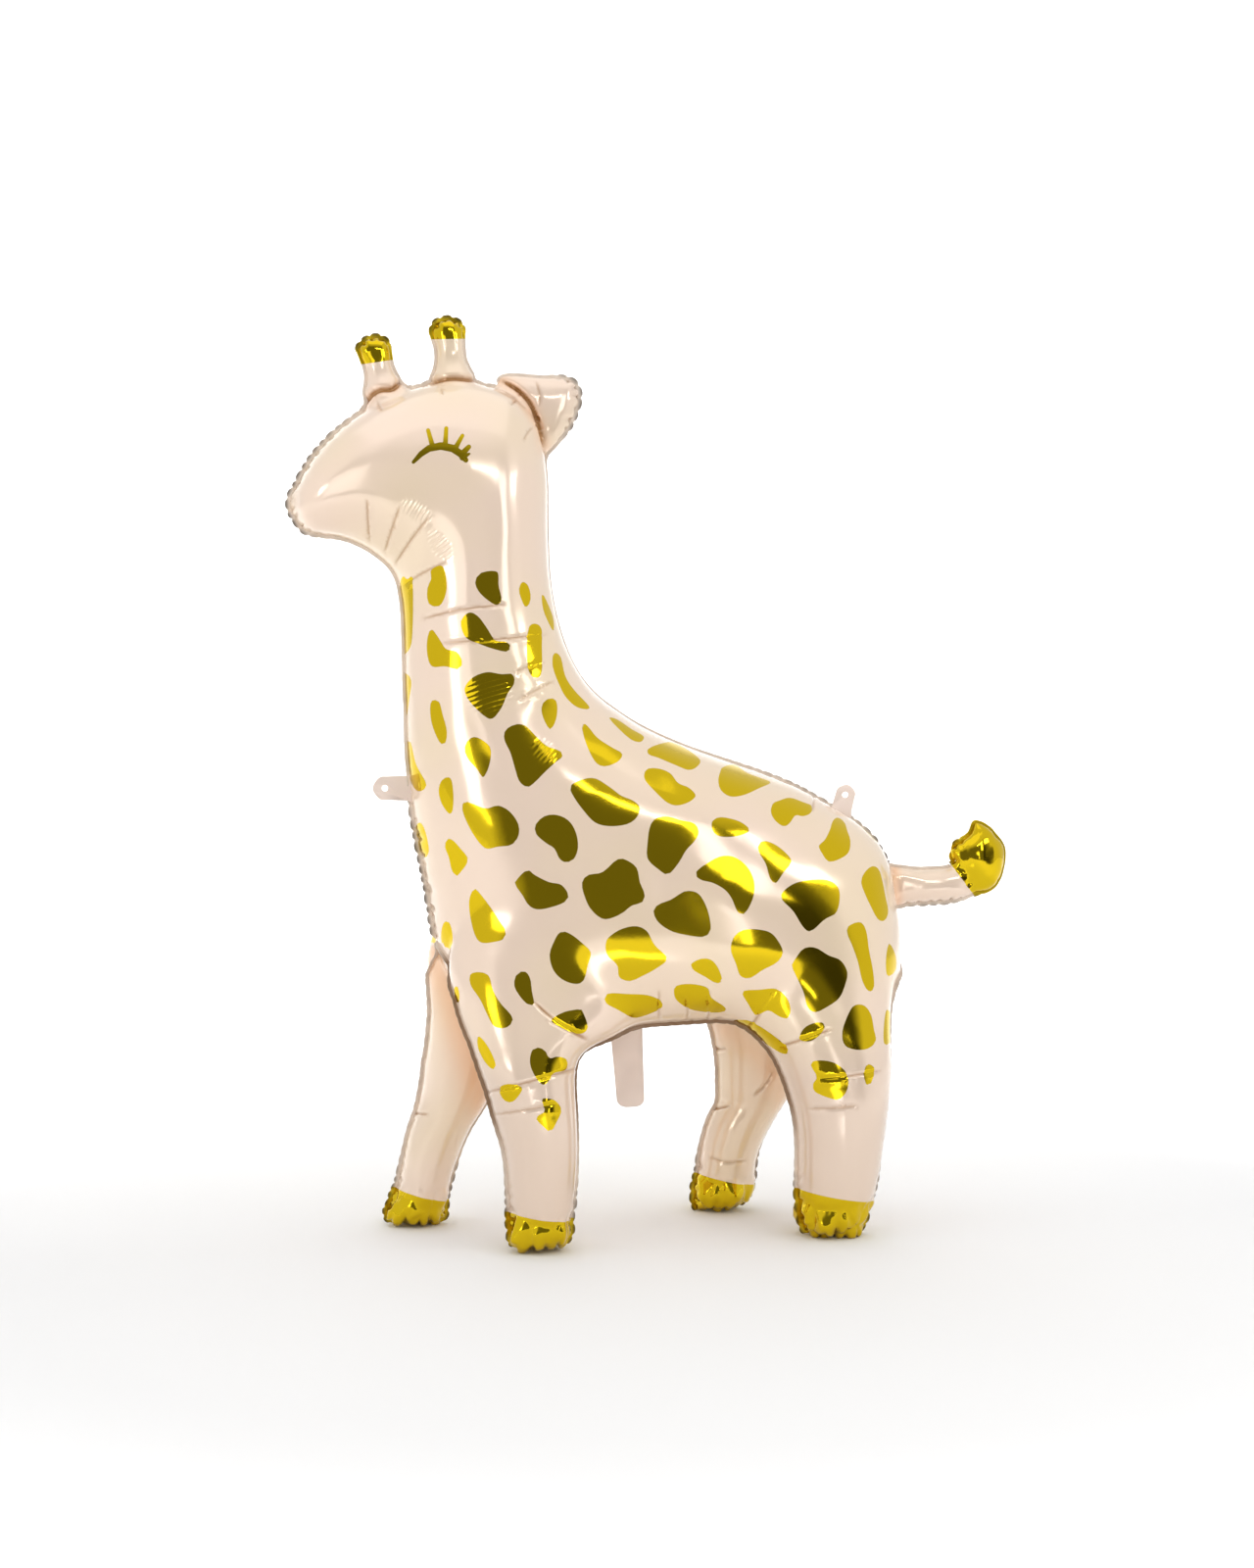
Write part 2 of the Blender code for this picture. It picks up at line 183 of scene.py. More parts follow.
# The photograph's frame and the camera that it was taken with.
PHOTO_WIDTH = 1280
PHOTO_HEIGHT = 1600
CAMERA_AZIMUTH = math.radians(-14.0)
CAMERA_DISTANCE = 2.4
CAMERA_TARGET = np.array((-38.0 * MM, 0.0, 0.484)) + STAND
PIXEL = 1.066 * MM
SENSOR = 36.0
FORWARD = np.array((-math.sin(CAMERA_AZIMUTH), math.cos(CAMERA_AZIMUTH), 0.0))
RIGHT = np.array((math.cos(CAMERA_AZIMUTH), math.sin(CAMERA_AZIMUTH), 0.0))

# Gold spots of the print, as outlines in the photograph's frame.
SPOTS = (
    ((409, 594), (416, 591), (421, 592), (421, 640), (418, 662), (409, 662)),
    ((440, 581), (452, 578), (456, 600), (450, 617), (440, 618), (436, 612), (436, 600), (440, 590)),
    ((497, 583), (508, 584), (509, 598), (512, 611), (508, 617), (500, 614), (489, 604), (485, 594),
     (489, 586)),
    ((533, 594), (539, 597), (542, 608), (540, 617), (536, 619), (532, 610), (530, 602)),
    ((554, 606), (560, 618), (565, 632), (565, 644), (561, 638), (555, 624), (553, 612)),
    ((479, 625), (488, 629), (497, 641), (505, 653), (516, 655), (521, 660), (517, 665), (503, 662),
     (489, 657), (476, 651), (471, 641), (471, 632)),
    ((440, 642), (447, 650), (455, 662), (466, 665), (472, 676), (467, 683), (455, 680), (441, 680),
     (436, 668), (436, 652)),
    ((542, 637), (552, 640), (553, 660), (553, 685), (548, 692), (541, 688), (538, 675), (538, 650)),
    ((497, 686), (512, 688), (523, 688), (525, 697), (518, 708), (512, 722), (503, 733), (495, 731),
     (482, 719), (475, 708), (475, 700), (483, 691)),
    ((565, 667), (572, 670), (577, 690), (586, 704), (602, 722), (590, 722), (578, 712), (570, 697),
     (564, 680)),
    ((409, 689), (418, 690), (420, 698), (418, 712), (415, 730), (409, 730)),
    ((441, 715), (448, 716), (452, 730), (456, 745), (455, 757), (450, 759), (444, 748), (440, 735),
     (439, 722)),
    ((560, 713), (567, 714), (569, 724), (567, 736), (562, 744), (557, 738), (553, 727), (554, 718)),
    ((527, 739), (537, 741), (546, 750), (558, 761), (571, 766), (574, 772), (567, 778), (556, 788),
     (545, 799), (538, 803), (530, 797), (526, 785), (521, 768), (515, 755), (516, 745)),
    ((594, 738), (600, 741), (610, 753), (625, 763), (635, 769), (631, 777), (618, 782), (609, 779),
     (602, 768), (596, 752)),
    ((622, 733), (630, 734), (645, 744), (657, 751), (654, 757), (645, 755), (634, 746)),
    ((484, 752), (492, 755), (500, 762), (501, 772), (498, 785), (493, 793), (487, 785), (478, 775),
     (474, 765), (477, 756)),
    ((416, 757), (420, 759), (425, 780), (435, 798), (434, 805), (426, 807), (419, 797), (412, 780),
     (411, 765)),
    ((456, 793), (461, 796), (463, 812), (462, 828), (458, 830), (451, 820), (448, 808), (450, 798)),
    ((474, 818), (482, 820), (496, 825), (508, 822), (520, 828), (529, 841), (529, 853), (522, 862),
     (508, 864), (496, 866), (486, 856), (477, 840), (472, 826)),
    ((590, 797), (606, 794), (622, 803), (634, 812), (646, 817), (653, 824), (650, 834), (640, 841),
     (622, 843), (607, 839), (594, 825), (585, 812), (582, 803)),
    ((661, 765), (670, 760), (686, 757), (700, 764), (714, 775), (712, 782), (703, 786), (690, 781),
     (672, 773), (663, 770)),
    ((660, 785), (672, 784), (684, 789), (692, 799), (703, 804), (710, 812), (704, 818), (692, 822),
     (681, 819), (668, 807), (658, 795)),
    ((738, 783), (750, 780), (762, 788), (778, 794), (787, 798), (775, 804), (760, 811), (746, 813),
     (736, 807), (733, 797), (735, 788)),
    ((795, 817), (806, 814), (818, 818), (829, 823), (827, 830), (819, 833), (812, 832), (806, 840),
     (800, 843), (792, 838), (787, 829), (789, 820)),
    ((727, 838), (735, 834), (748, 836), (758, 840), (765, 847), (757, 852), (745, 854), (733, 853),
     (727, 847)),
    ((668, 836), (680, 833), (695, 837), (708, 840), (713, 848), (710, 857), (700, 868), (693, 880),
     (682, 892), (672, 887), (661, 876), (661, 860), (663, 845)),
    ((855, 834), (862, 839), (865, 848), (868, 858), (866, 870), (856, 877), (846, 879), (840, 872),
     (836, 863), (842, 857), (847, 847), (850, 838)),
    ((780, 858), (790, 861), (801, 869), (808, 879), (800, 890), (792, 901), (786, 896), (782, 882),
     (775, 870), (774, 862)),
    ((871, 830), (880, 836), (892, 850), (899, 861), (894, 859), (884, 849), (874, 839)),
    ((882, 891), (890, 884), (897, 887), (901, 900), (904, 915), (907, 930), (903, 939), (896, 938),
     (889, 925), (882, 910), (879, 900)),
    ((712, 888), (720, 882), (732, 875), (742, 873), (753, 876), (764, 886), (770, 900), (769, 915),
     (762, 930), (757, 933), (752, 929), (747, 917), (740, 908), (728, 901), (716, 898), (710, 893)),
    ((702, 909), (713, 912), (721, 925), (725, 940), (725, 950), (718, 956), (700, 954), (685, 950),
     (672, 941), (667, 930), (672, 923), (685, 918), (694, 912)),
    ((808, 903), (825, 898), (845, 898), (856, 906), (857, 920), (853, 932), (842, 938), (828, 950),
     (820, 946), (810, 930), (797, 915)),
    ((549, 838), (558, 832), (570, 832), (581, 838), (588, 850), (590, 865), (586, 876), (578, 880),
     (571, 876), (566, 866), (557, 860), (548, 852), (546, 845)),
    ((457, 856), (463, 858), (470, 866), (477, 875), (476, 882), (470, 890), (466, 894), (461, 888),
     (458, 875), (454, 864)),
    ((427, 840), (432, 842), (436, 855), (438, 868), (434, 875), (428, 868), (424, 852)),
    ((484, 907), (490, 912), (500, 925), (510, 940), (516, 950), (514, 958), (505, 961), (492, 962),
     (485, 955), (480, 935), (479, 918)),
    ((527, 898), (538, 888), (546, 893), (560, 900), (573, 903), (580, 913), (577, 920), (565, 925),
     (550, 928), (540, 924), (533, 913), (526, 903)),
    ((594, 902), (600, 893), (615, 890), (630, 877), (640, 878), (650, 886), (653, 900), (658, 913),
     (655, 921), (645, 924), (633, 933), (617, 938), (605, 930), (598, 918)),
    ((565, 962), (572, 951), (582, 953), (595, 963), (603, 972), (600, 985), (596, 1000), (588, 1004),
     (575, 1000), (565, 990), (561, 975)),
    ((620, 958), (632, 949), (648, 945), (660, 950), (668, 964), (681, 978), (670, 988), (655, 996),
     (643, 1001), (632, 997), (630, 985), (620, 975), (618, 965)),
    ((452, 943), (457, 940), (461, 948), (462, 962), (457, 971), (452, 966), (450, 955)),
    ((480, 994), (490, 992), (499, 996), (503, 1010), (511, 1024), (521, 1035), (523, 1043), (515, 1049),
     (504, 1047), (497, 1035), (490, 1020), (480, 1005)),
    ((527, 995), (535, 991), (541, 998), (543, 1012), (545, 1024), (539, 1025), (531, 1017), (525, 1006)),
    ((463, 1008), (467, 1007), (469, 1016), (468, 1024), (464, 1020), (462, 1013)),
    ((620, 1014), (640, 1014), (660, 1015), (673, 1020), (676, 1027), (668, 1032), (655, 1037), (645, 1038),
     (630, 1030), (618, 1023)),
    ((563, 1041), (575, 1033), (590, 1030), (594, 1031), (600, 1048), (593, 1055), (583, 1053),
     (572, 1048)),
    ((488, 1057), (494, 1062), (501, 1073), (506, 1086), (503, 1091), (496, 1085), (489, 1072),
     (487, 1062)),
    ((543, 1072), (550, 1069), (557, 1073), (561, 1080), (570, 1078), (579, 1082), (577, 1092), (566, 1095),
     (560, 1103), (554, 1107), (546, 1098), (541, 1085)),
    ((510, 1110), (520, 1106), (533, 1110), (528, 1120), (521, 1125), (513, 1121)),
    ((553, 1122), (560, 1121), (568, 1124), (573, 1133), (568, 1145), (562, 1155), (555, 1150), (548, 1143),
     (549, 1138), (556, 1134)),
    ((748, 958), (756, 950), (768, 948), (785, 951), (794, 960), (799, 972), (793, 982), (778, 990),
     (766, 998), (756, 996), (751, 983), (746, 970)),
    ((812, 978), (820, 968), (832, 967), (846, 975), (858, 980), (865, 992), (863, 1004), (857, 1018),
     (845, 1027), (832, 1033), (824, 1027), (820, 1012), (812, 995), (808, 985)),
    ((866, 945), (878, 941), (884, 950), (887, 970), (891, 990), (892, 1008), (886, 1011), (880, 1000),
     (876, 982), (870, 965), (865, 953)),
    ((706, 983), (718, 978), (728, 981), (735, 992), (737, 1002), (730, 1003), (720, 997), (708, 990)),
    ((908, 963), (914, 975), (914, 990), (906, 996), (904, 985), (905, 970)),
    ((690, 1006), (705, 1004), (722, 1008), (726, 1018), (740, 1028), (738, 1033), (722, 1033), (705, 1030),
     (692, 1022), (688, 1014)),
    ((758, 1012), (775, 1010), (792, 1009), (803, 1018), (807, 1030), (804, 1039), (795, 1037), (784, 1031),
     (772, 1036), (764, 1025)),
    ((866, 1035), (872, 1026), (882, 1026), (889, 1035), (892, 1050), (894, 1062), (886, 1070), (873, 1071),
     (862, 1066), (860, 1052)),
    ((748, 1043), (762, 1041), (775, 1047), (790, 1057), (803, 1068), (804, 1075), (796, 1074), (780, 1064),
     (762, 1053)),
    ((816, 1058), (822, 1048), (835, 1043), (842, 1046), (838, 1055), (828, 1062), (818, 1062)),
    ((828, 1084), (837, 1082), (850, 1084), (861, 1091), (866, 1102), (864, 1114), (856, 1122), (845, 1120),
     (832, 1114), (830, 1106), (834, 1099), (829, 1090)),
    ((884, 1087), (890, 1087), (893, 1093), (889, 1106), (885, 1107), (882, 1099)),
    ((905, 1030), (912, 1042), (911, 1060), (903, 1066), (902, 1050)),
)
SPOT_STEPS = 5

# The closed eye: strokes as (x, y, half width).
EYE = (
    ((422, 471.5, 1.8), (430, 463, 2.9), (438, 457.5, 3.5), (450, 455, 3.9), (462, 457.5, 3.9),
     (470, 463, 3.6), (475.5, 469.5, 2.6)),
    ((441.5, 455, 2.6), (437, 439, 2.1)),
    ((454.5, 455, 2.6), (455.5, 437, 2.1)),
    ((465, 457, 2.6), (472, 444.5, 2.0)),
    ((471, 464, 3.4), (478.5, 456, 2.4)),
    ((472, 467, 3.0), (479, 463, 1.2)),
)

# Gold horn tips and tail tuft: a line from left to right, above or beyond which the film is gold.
GOLD_CAPS = (
    ((350, 374.5), (412, 365.7), (350, 330, 412, 392)),
    ((430, 346.5), (486, 345.5), (430, 310, 486, 365)),
    ((966, 876), (993, 912), (950, 820, 1040, 940)),
)

# Creases in the film: half width and depth in millimetres, then points in the photograph's frame.
INNER_CREASES = (
    (1.8, 1.8, ((714, 1124), (728, 1131), (746, 1128))),
    (1.7, 1.3, ((724, 1066), (733, 1071), (742, 1070))),
    (1.8, 1.5, ((412, 1128), (424, 1136), (438, 1137))),
    (1.6, 1.2, ((768, 1120), (782, 1106), (790, 1092))),
    (1.6, 1.0, ((722, 1180), (742, 1186), (764, 1184))),
)
CREASES = (
    (3.0, 3.6, ((368, 417), (378, 404), (388, 398), (402, 396), (416, 383))),
    (2.6, 3.0, ((438, 392), (449, 388), (462, 386), (476, 387), (489, 389))),
    (2.4, 4.4, ((511, 388), (526, 396), (541, 411), (550, 432), (556, 458))),
    (1.6, 1.2, ((829, 805), (831, 816), (829, 829))),
    (1.5, 0.9, ((383, 402), (386, 412), (390, 420))),
    (1.5, 0.9, ((452, 389), (451, 397), (452, 404))),
    (1.5, 1.0, ((532, 401), (527, 408), (521, 414))),
    (1.5, 0.9, ((550, 432), (540, 440), (534, 451))),
    (1.6, 1.3, ((374.5, 507), (375.5, 530), (377.5, 556))),
    (1.6, 1.3, ((409, 514), (400, 540), (392, 566))),
    (1.6, 1.3, ((439, 526), (420, 550), (401, 579))),
    (1.6, 1.3, ((411, 597), (432, 584), (458, 572))),
    (1.7, 1.4, ((428, 632), (470, 622), (523, 616))),
    (1.7, 1.4, ((445, 656), (500, 653), (562, 647))),
    (1.6, 1.1, ((523, 688), (540, 680), (557, 676))),
    (1.6, 1.0, ((528, 716), (548, 704), (567, 694))),
    (1.7, 1.5, ((493, 1116), (540, 1104), (594, 1089))),
    (1.6, 1.0, ((500, 1138), (535, 1133), (573, 1125))),
    (2.0, 2.0, ((543, 1020), (568, 1042), (602, 1061))),
    (1.7, 1.4, ((554, 1038), (580, 1052), (602, 1063))),
    (1.7, 1.4, ((792, 1008), (778, 1030), (764, 1052))),
    (1.8, 1.6, ((793, 1069), (822, 1060), (852, 1049))),
    (1.7, 1.3, ((832, 1101), (868, 1098), (902, 1092))),
    (1.6, 1.0, ((823, 1131), (850, 1131), (878, 1128))),
    (1.5, 1.0, ((672, 1008), (673, 1025), (672, 1042))),
    (1.5, 1.0, ((700, 1014), (702, 1028), (701, 1042))),
    (1.5, 1.0, ((722, 1012), (724, 1028), (722, 1042))),
    (1.6, 1.2, ((547, 388), (551, 404), (549, 420))),
)

CREASE_SHARPNESS = 0.8

# Painted warm bounce light and shade beside deep creases: panel, width and strength, then points in the
# photograph's frame. It is on the inner panels above AMBER_LOW only, or within SEAM_GLOW of the seam's plane.
# The legs' welds take painted warm shade from AMBER_LOW to AMBER_HIGH, and less so behind REAR_WELD.
PAINTED_BOUNCES = (
    ("inner", 20.0, 0.62, ((441, 975), (462, 1022), (481, 1080), (493, 1120), (503, 1140))),
    ("inner", 15.0, 0.34, ((722, 1050), (745, 1052), (777, 1078), (797, 1106), (804, 1134))),
    ("outer", 7.0, 0.4, ((511, 388), (526, 396), (541, 411), (550, 432), (556, 458))),
    ("outer", 6.0, 0.35, ((368, 417), (378, 404), (388, 398), (402, 396), (416, 383))),
    ("outer", 5.0, 0.3, ((438, 392), (449, 388), (462, 386), (476, 387), (489, 389))),
    ("seam", 6.0, 0.6, ((913, 884), (914, 900), (915, 921))),
)
AMBER_LOW = 95
AMBER_HIGH = 340
SEAM_GLOW = 22
REAR_WELD = 200

# Patches of fine ripples: centre, half length, half width, direction of the belt, spacing and depth in
# millimetres.
RIPPLES = (
    ((425, 521), 19, 10, 32.0, 3.9, 0.95),
    ((449, 556), 19, 10, 52.0, 3.9, 0.75),
    ((500, 708), 24, 26, 72.0, 5.0, 0.24),
    ((556, 766), 16, 13, 40.0, 4.6, 0.22),
)


class SkinSettings(bpy.types.PropertyGroup):
    cell: bpy.props.FloatProperty(
        name="Skin cell", description="Edge of the skin's mesh before it is refined",
        default=0.005, unit="LENGTH",
    )
    rounding: bpy.props.IntProperty(
        name="Rounding", description="Rounds of smoothing where tubes meet", default=6
    )
    pucker: bpy.props.FloatProperty(
        name="Pucker depth", description="Depth of the pleats along the seams", default=0.0022, unit="LENGTH"
    )
    notch: bpy.props.FloatProperty(
        name="Sole notch", description="Height of the notches between a sole's puffs",
        default=0.0042, unit="LENGTH",
    )
    sag: bpy.props.FloatProperty(
        name="Film waviness", description="Height of the slow waves in the film",
        default=0.0007, unit="LENGTH",
    )
    crumple: bpy.props.FloatProperty(
        name="Crumple", description="Height of the crumpled film at hooves and tips",
        default=0.011, unit="LENGTH",
    )
    cream: bpy.props.FloatVectorProperty(
        name="Cream", description="Colour of the printed film",
        subtype="COLOR", size=3, default=(0.87, 0.705, 0.515),
    )
    blush: bpy.props.FloatVectorProperty(
        name="Blush", description="Second tone of the film",
        subtype="COLOR", size=3, default=(0.88, 0.7, 0.565),
    )
    # Colour of the painted shade deep in creases and hollows; at half strength it is also the painted warm
    # shade on the leg welds.
    painted_shade_tone: bpy.props.FloatVectorProperty(
        name="Amber", description="Tone deep in the creases",
        subtype="COLOR", size=3, default=(0.36, 0.15, 0.02),
    )
    # Colour of the painted warm bounce light and shade beside deep creases and between the legs.
    glow: bpy.props.FloatVectorProperty(
        name="Glow", description="Tone beside deep creases",
        subtype="COLOR", size=3, default=(0.93, 0.5, 0.25),
    )
    gold: bpy.props.FloatVectorProperty(
        name="Gold", description="Colour of the gold print",
        subtype="COLOR", size=3, default=(0.7, 0.495, 0.012),
    )


class SeamSettings(bpy.types.PropertyGroup):
    width: bpy.props.FloatProperty(
        name="Width", description="How far the welded seam stands out", default=0.0058, unit="LENGTH"
    )
    thickness: bpy.props.FloatProperty(
        name="Thickness", description="Thickness of the two welded films", default=0.0007, unit="LENGTH"
    )
    wave: bpy.props.FloatProperty(
        name="Wave", description="How far the seam buckles sideways", default=0.0012, unit="LENGTH"
    )
    colour: bpy.props.FloatVectorProperty(
        name="Seam colour", description="Tone of the weld",
        subtype="COLOR", size=3, default=(0.86, 0.73, 0.61),
    )
    shadow: bpy.props.FloatVectorProperty(
        name="Seam shadow", description="Tone of its bulges",
        subtype="COLOR", size=3, default=(0.055, 0.042, 0.03),
    )


class TrimSettings(bpy.types.PropertyGroup):
    tab_thickness: bpy.props.FloatProperty(
        name="Tab thickness", description="Thickness of the hanging tabs", default=0.0008, unit="LENGTH"
    )
    hole: bpy.props.FloatProperty(
        name="Hole", description="Radius of the hanging hole", default=0.0034, unit="LENGTH"
    )
    strip_thickness: bpy.props.FloatProperty(
        name="Strip thickness", description="Thickness of the filling strip", default=0.0009, unit="LENGTH"
    )
    pink: bpy.props.FloatVectorProperty(
        name="Pink film", description="Colour of tabs and strip",
        subtype="COLOR", size=3, default=(0.9, 0.75, 0.66),
    )


class StageSettings(bpy.types.PropertyGroup):
    floor: bpy.props.FloatVectorProperty(
        name="Floor", description="Colour of floor and backdrop",
        subtype="COLOR", size=3, default=(0.9, 0.9, 0.9),
    )
    lamps: bpy.props.FloatProperty(name="Lamps", description="Brightness of all softboxes", default=1.0)
    surroundings: bpy.props.FloatProperty(
        name="Surroundings", description="Light from all round", default=0.85
    )
    dim_front: bpy.props.FloatProperty(
        name="Dim front", description="Share of that light from behind the photographer", default=0.22
    )


def placed(points):
    """Points of the part's own tables, in millimetres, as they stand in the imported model."""
    return np.array(points, float) * MM + STAND


def own_place(points):
    """The points' x, distance beyond the seam plane and height in the part's own tables, in millimetres."""
    own = (points - STAND) / MM
    return own[:, 0], own[:, 1], own[:, 2]


def flat(row):
    """A station's numbers as one list, so that they can be blended."""
    numbers = []
    for item in row:
        numbers.extend(item if isinstance(item, tuple) else (item,))
    return numbers


def smooth_rows(rows, steps):
    """Catmull-Rom rows through the given ones, with steps intervals between each two."""
    rows = np.array([flat(row) for row in rows], float)
    made = []
    for i in range(len(rows) - 1):
        a, b, c, d = rows[max(i - 1, 0)], rows[i], rows[i + 1], rows[min(i + 2, len(rows) - 1)]
        for step in range(steps):
            t = step / steps
            made.append(b + 0.5 * t * (c - a + t * (2 * a - 5 * b + 4 * c - d + t * (3 * (b - c) + d - a))))
    made.append(rows[-1])
    return np.array(made)


def smooth_loop(points, steps):
    """A closed Catmull-Rom outline through the points."""
    points = [points[-1], *points, points[0], points[1]]
    return smooth_rows(points, steps)[steps : -steps - 1]


def ring_between(edge_a, edge_b, half, count, fullness=1.0):
    """A closed ring of two panels that meet at edge_a and edge_b, and bulge by half to either side."""
    middle = (edge_a + edge_b) / 2
    reach = (edge_b - edge_a) / 2
    turn = np.arange(count) * 2 * math.pi / count
    along = np.cos(turn)
    along = np.where(along < 0, -(np.abs(along) ** fullness), along)
    return middle + np.outer(along, reach) + np.outer(np.sin(turn), (0.0, half, 0.0))


def outward(points, inside):
    """At each point of an outline in the XZ plane, the direction that leaves it, away from those inside."""
    along = np.gradient(points, axis=0)
    across = np.stack((along[:, 2], np.zeros(len(points)), -along[:, 0]), axis=1)
    across /= np.linalg.norm(across, axis=1)[:, None]
    away = np.sign(((points - inside) * across).sum(axis=1))
    return across * away[:, None]


def trunk_edges(steps):
    """The trunk's two welded edges without their flange, its half thickness, and both edges' pucker."""
    rows = smooth_rows(TRUNK, steps)
    level = np.zeros(len(rows))
    low = np.stack((rows[:, 0], level, rows[:, 1]), axis=1)
    high = np.stack((rows[:, 2], level, rows[:, 3]), axis=1)
    middle = (low + high) / 2
    low = low - outward(low, middle) * FLANGE * np.maximum(rows[:, 5], LEAST_FLANGE)[:, None]
    high = high - outward(high, middle) * FLANGE * np.maximum(rows[:, 6], LEAST_FLANGE)[:, None]
    return low, high, rows


def trunk_rings(count=56):
    low, high, rows = trunk_edges(TRUNK_STEPS)
    rings = []
    for a, b, row in zip(low, high, rows):
        fullness = BELLY_FULLNESS + (1 - BELLY_FULLNESS) * row[5]
        rings.append(ring_between(a, b, row[4], count, fullness))
    return rings


def leg_rings(name, count=40):
    sign = SIDES[name.split("_")[0]]
    rings = []
    for z, front, back, across, half in smooth_rows(LEGS[name], LEG_STEPS):
        edges = (np.array((x, sign * across, z)) for x in (front + FLANGE, back - FLANGE))
        rings.append(ring_between(*edges, half, count))
    return rings


def horn_edges(name):
    """The horn's two edges without flange, and its half thickness along it."""
    low, high = (np.array((x, 0.0, z)) for x, z in HORNS[name])
    axis = high - low
    across = np.array((axis[2], 0.0, -axis[0])) / np.linalg.norm(axis)
    shape = smooth_rows(HORN_SHAPE, HORN_STEPS)
    centre = low + np.outer(shape[:, 0], axis * (1 - FLANGE / np.linalg.norm(axis)))
    half = np.maximum(shape[:, 1] - FLANGE / 2, 2.0)
    return centre - across * half[:, None], centre + across * half[:, None], half * HORN_THICKNESS


def horn_rings(name, count=32):
    left, right, thick = horn_edges(name)
    return [ring_between(a, b, t, count) for a, b, t in zip(left, right, thick)]


def lobe_outline(name):
    half, outline = LOBES[name]
    loop = smooth_loop(outline, LOBE_STEPS)
    return half, np.stack((loop[:, 0], np.zeros(len(loop)), loop[:, 1]), axis=1)


def lobe_rings(name, loops=8):
    """A pillow over the lobe's outline, from the middle of one side round its edge to the other."""
    half, loop = lobe_outline(name)
    middle = loop.mean(axis=0)
    rings = []
    for k in range(loops, -loops - 1, -1):
        angle = math.pi / 2 * k / loops
        rise = np.array((0.0, half * math.sin(angle), 0.0))
        rings.append(middle + (loop - middle) * (0.06 + 0.9 * math.cos(angle)) + rise)
    return rings


def deselect():
    bpy.ops.object.select_all(action="DESELECT")


def choose(piece):
    deselect()
    piece.select_set(True)
    bpy.context.view_layer.objects.active = piece


def turn_outward(merge=None):
    """Turns all faces of the active piece outward, after its points closer than merge have become one."""
    bpy.ops.object.mode_set(mode="EDIT")
    bpy.ops.mesh.select_all(action="SELECT")
    if merge:
        bpy.ops.mesh.remove_doubles(threshold=merge)
    bpy.ops.mesh.normals_make_consistent(inside=False)
    bpy.ops.object.mode_set(mode="OBJECT")


def place_vertices(piece, points):
    piece.data.vertices.foreach_set("co", np.asarray(points, np.float32).ravel())
    piece.data.update()


def read_mesh(items, key="co"):
    """A vector of each vertex or face of a mesh, as rows of an array."""
    values = np.empty(len(items) * 3, np.float32)
    items.foreach_get(key, values)
    return values.reshape(-1, 3).astype(float)


def vertices_of(piece):
    return read_mesh(piece.data.vertices)


def surface_tree(piece):
    """The piece's surface, ready to be searched for near places and for rays that meet it."""
    faces = [tuple(face.vertices) for face in piece.data.polygons]
    return BVHTree.FromPolygons([Vector(point) for point in vertices_of(piece)], faces)


def loft(name, rings):
    """A closed skin over the rings, in millimetres: a sphere whose rings of vertices are moved onto them."""
    around, count = len(rings[0]), len(rings)
    deselect()
    bpy.ops.mesh.primitive_uv_sphere_add(segments=around, ring_count=count + 1, radius=1.0)
    piece = bpy.context.object
    piece.name = name
    ball = vertices_of(piece)
    row = np.rint(np.arccos(np.clip(ball[:, 2], -1, 1)) * (count + 1) / math.pi).astype(int) - 1
    column = np.rint(np.arctan2(ball[:, 1], ball[:, 0]) * around / (2 * math.pi)).astype(int) % around
    rings = np.array(rings)
    moved = rings[np.clip(row, 0, count - 1), column]
    moved[row < 0] = rings[0].mean(axis=0)
    moved[row > count - 1] = rings[-1].mean(axis=0)
    place_vertices(piece, placed(moved))
    turn_outward()
    return piece


def join(name, pieces):
    deselect()
    for piece in pieces:
        piece.select_set(True)
    bpy.context.view_layer.objects.active = pieces[0]
    if len(pieces) > 1:
        bpy.ops.object.join()
    pieces[0].name = name
    pieces[0].data.name = name
    return pieces[0]


def apply_modifier(piece, kind, **values):
    choose(piece)
    made = piece.modifiers.new(kind, kind)
    for key, value in values.items():
        setattr(made, key, value)
    bpy.ops.object.modifier_apply(modifier=made.name)


def thin_sheet(name, grid, thickness, **shares):
    """A thin closed sheet over rows and columns of points, which carries the given value of each point."""
    rows, columns = grid.shape[:2]
    deselect()
    bpy.ops.mesh.primitive_grid_add(x_subdivisions=columns - 1, y_subdivisions=rows - 1, size=2.0)
    piece = bpy.context.object
    piece.name = name
    level = vertices_of(piece)
    row = np.rint((level[:, 1] + 1) / 2 * (rows - 1)).astype(int)
    column = np.rint((level[:, 0] + 1) / 2 * (columns - 1)).astype(int)
    place_vertices(piece, grid[row, column])
    for key, values in shares.items():
        write_attribute(piece, key, values[row, column])
    apply_modifier(piece, "SOLIDIFY", thickness=thickness, offset=0.0)
    return piece


def photo_pixels(points):
    """Where the points stand in the photograph, in its own pixels."""
    eye = CAMERA_TARGET - FORWARD * CAMERA_DISTANCE
    away = points - eye
    scale = CAMERA_DISTANCE / PIXEL / (away @ FORWARD)
    return np.stack((PHOTO_WIDTH / 2 + away @ RIGHT * scale, PHOTO_HEIGHT / 2 - away[:, 2] * scale), axis=1)


def segment_distance(points, start, end):
    """Distance from each point to a line segment, and how far along it the nearest place is."""
    span = end - start
    share = np.clip(((points - start) @ span) / max(span @ span, 1e-9), 0, 1)
    return np.linalg.norm(points - start - share[:, None] * span, axis=1), share


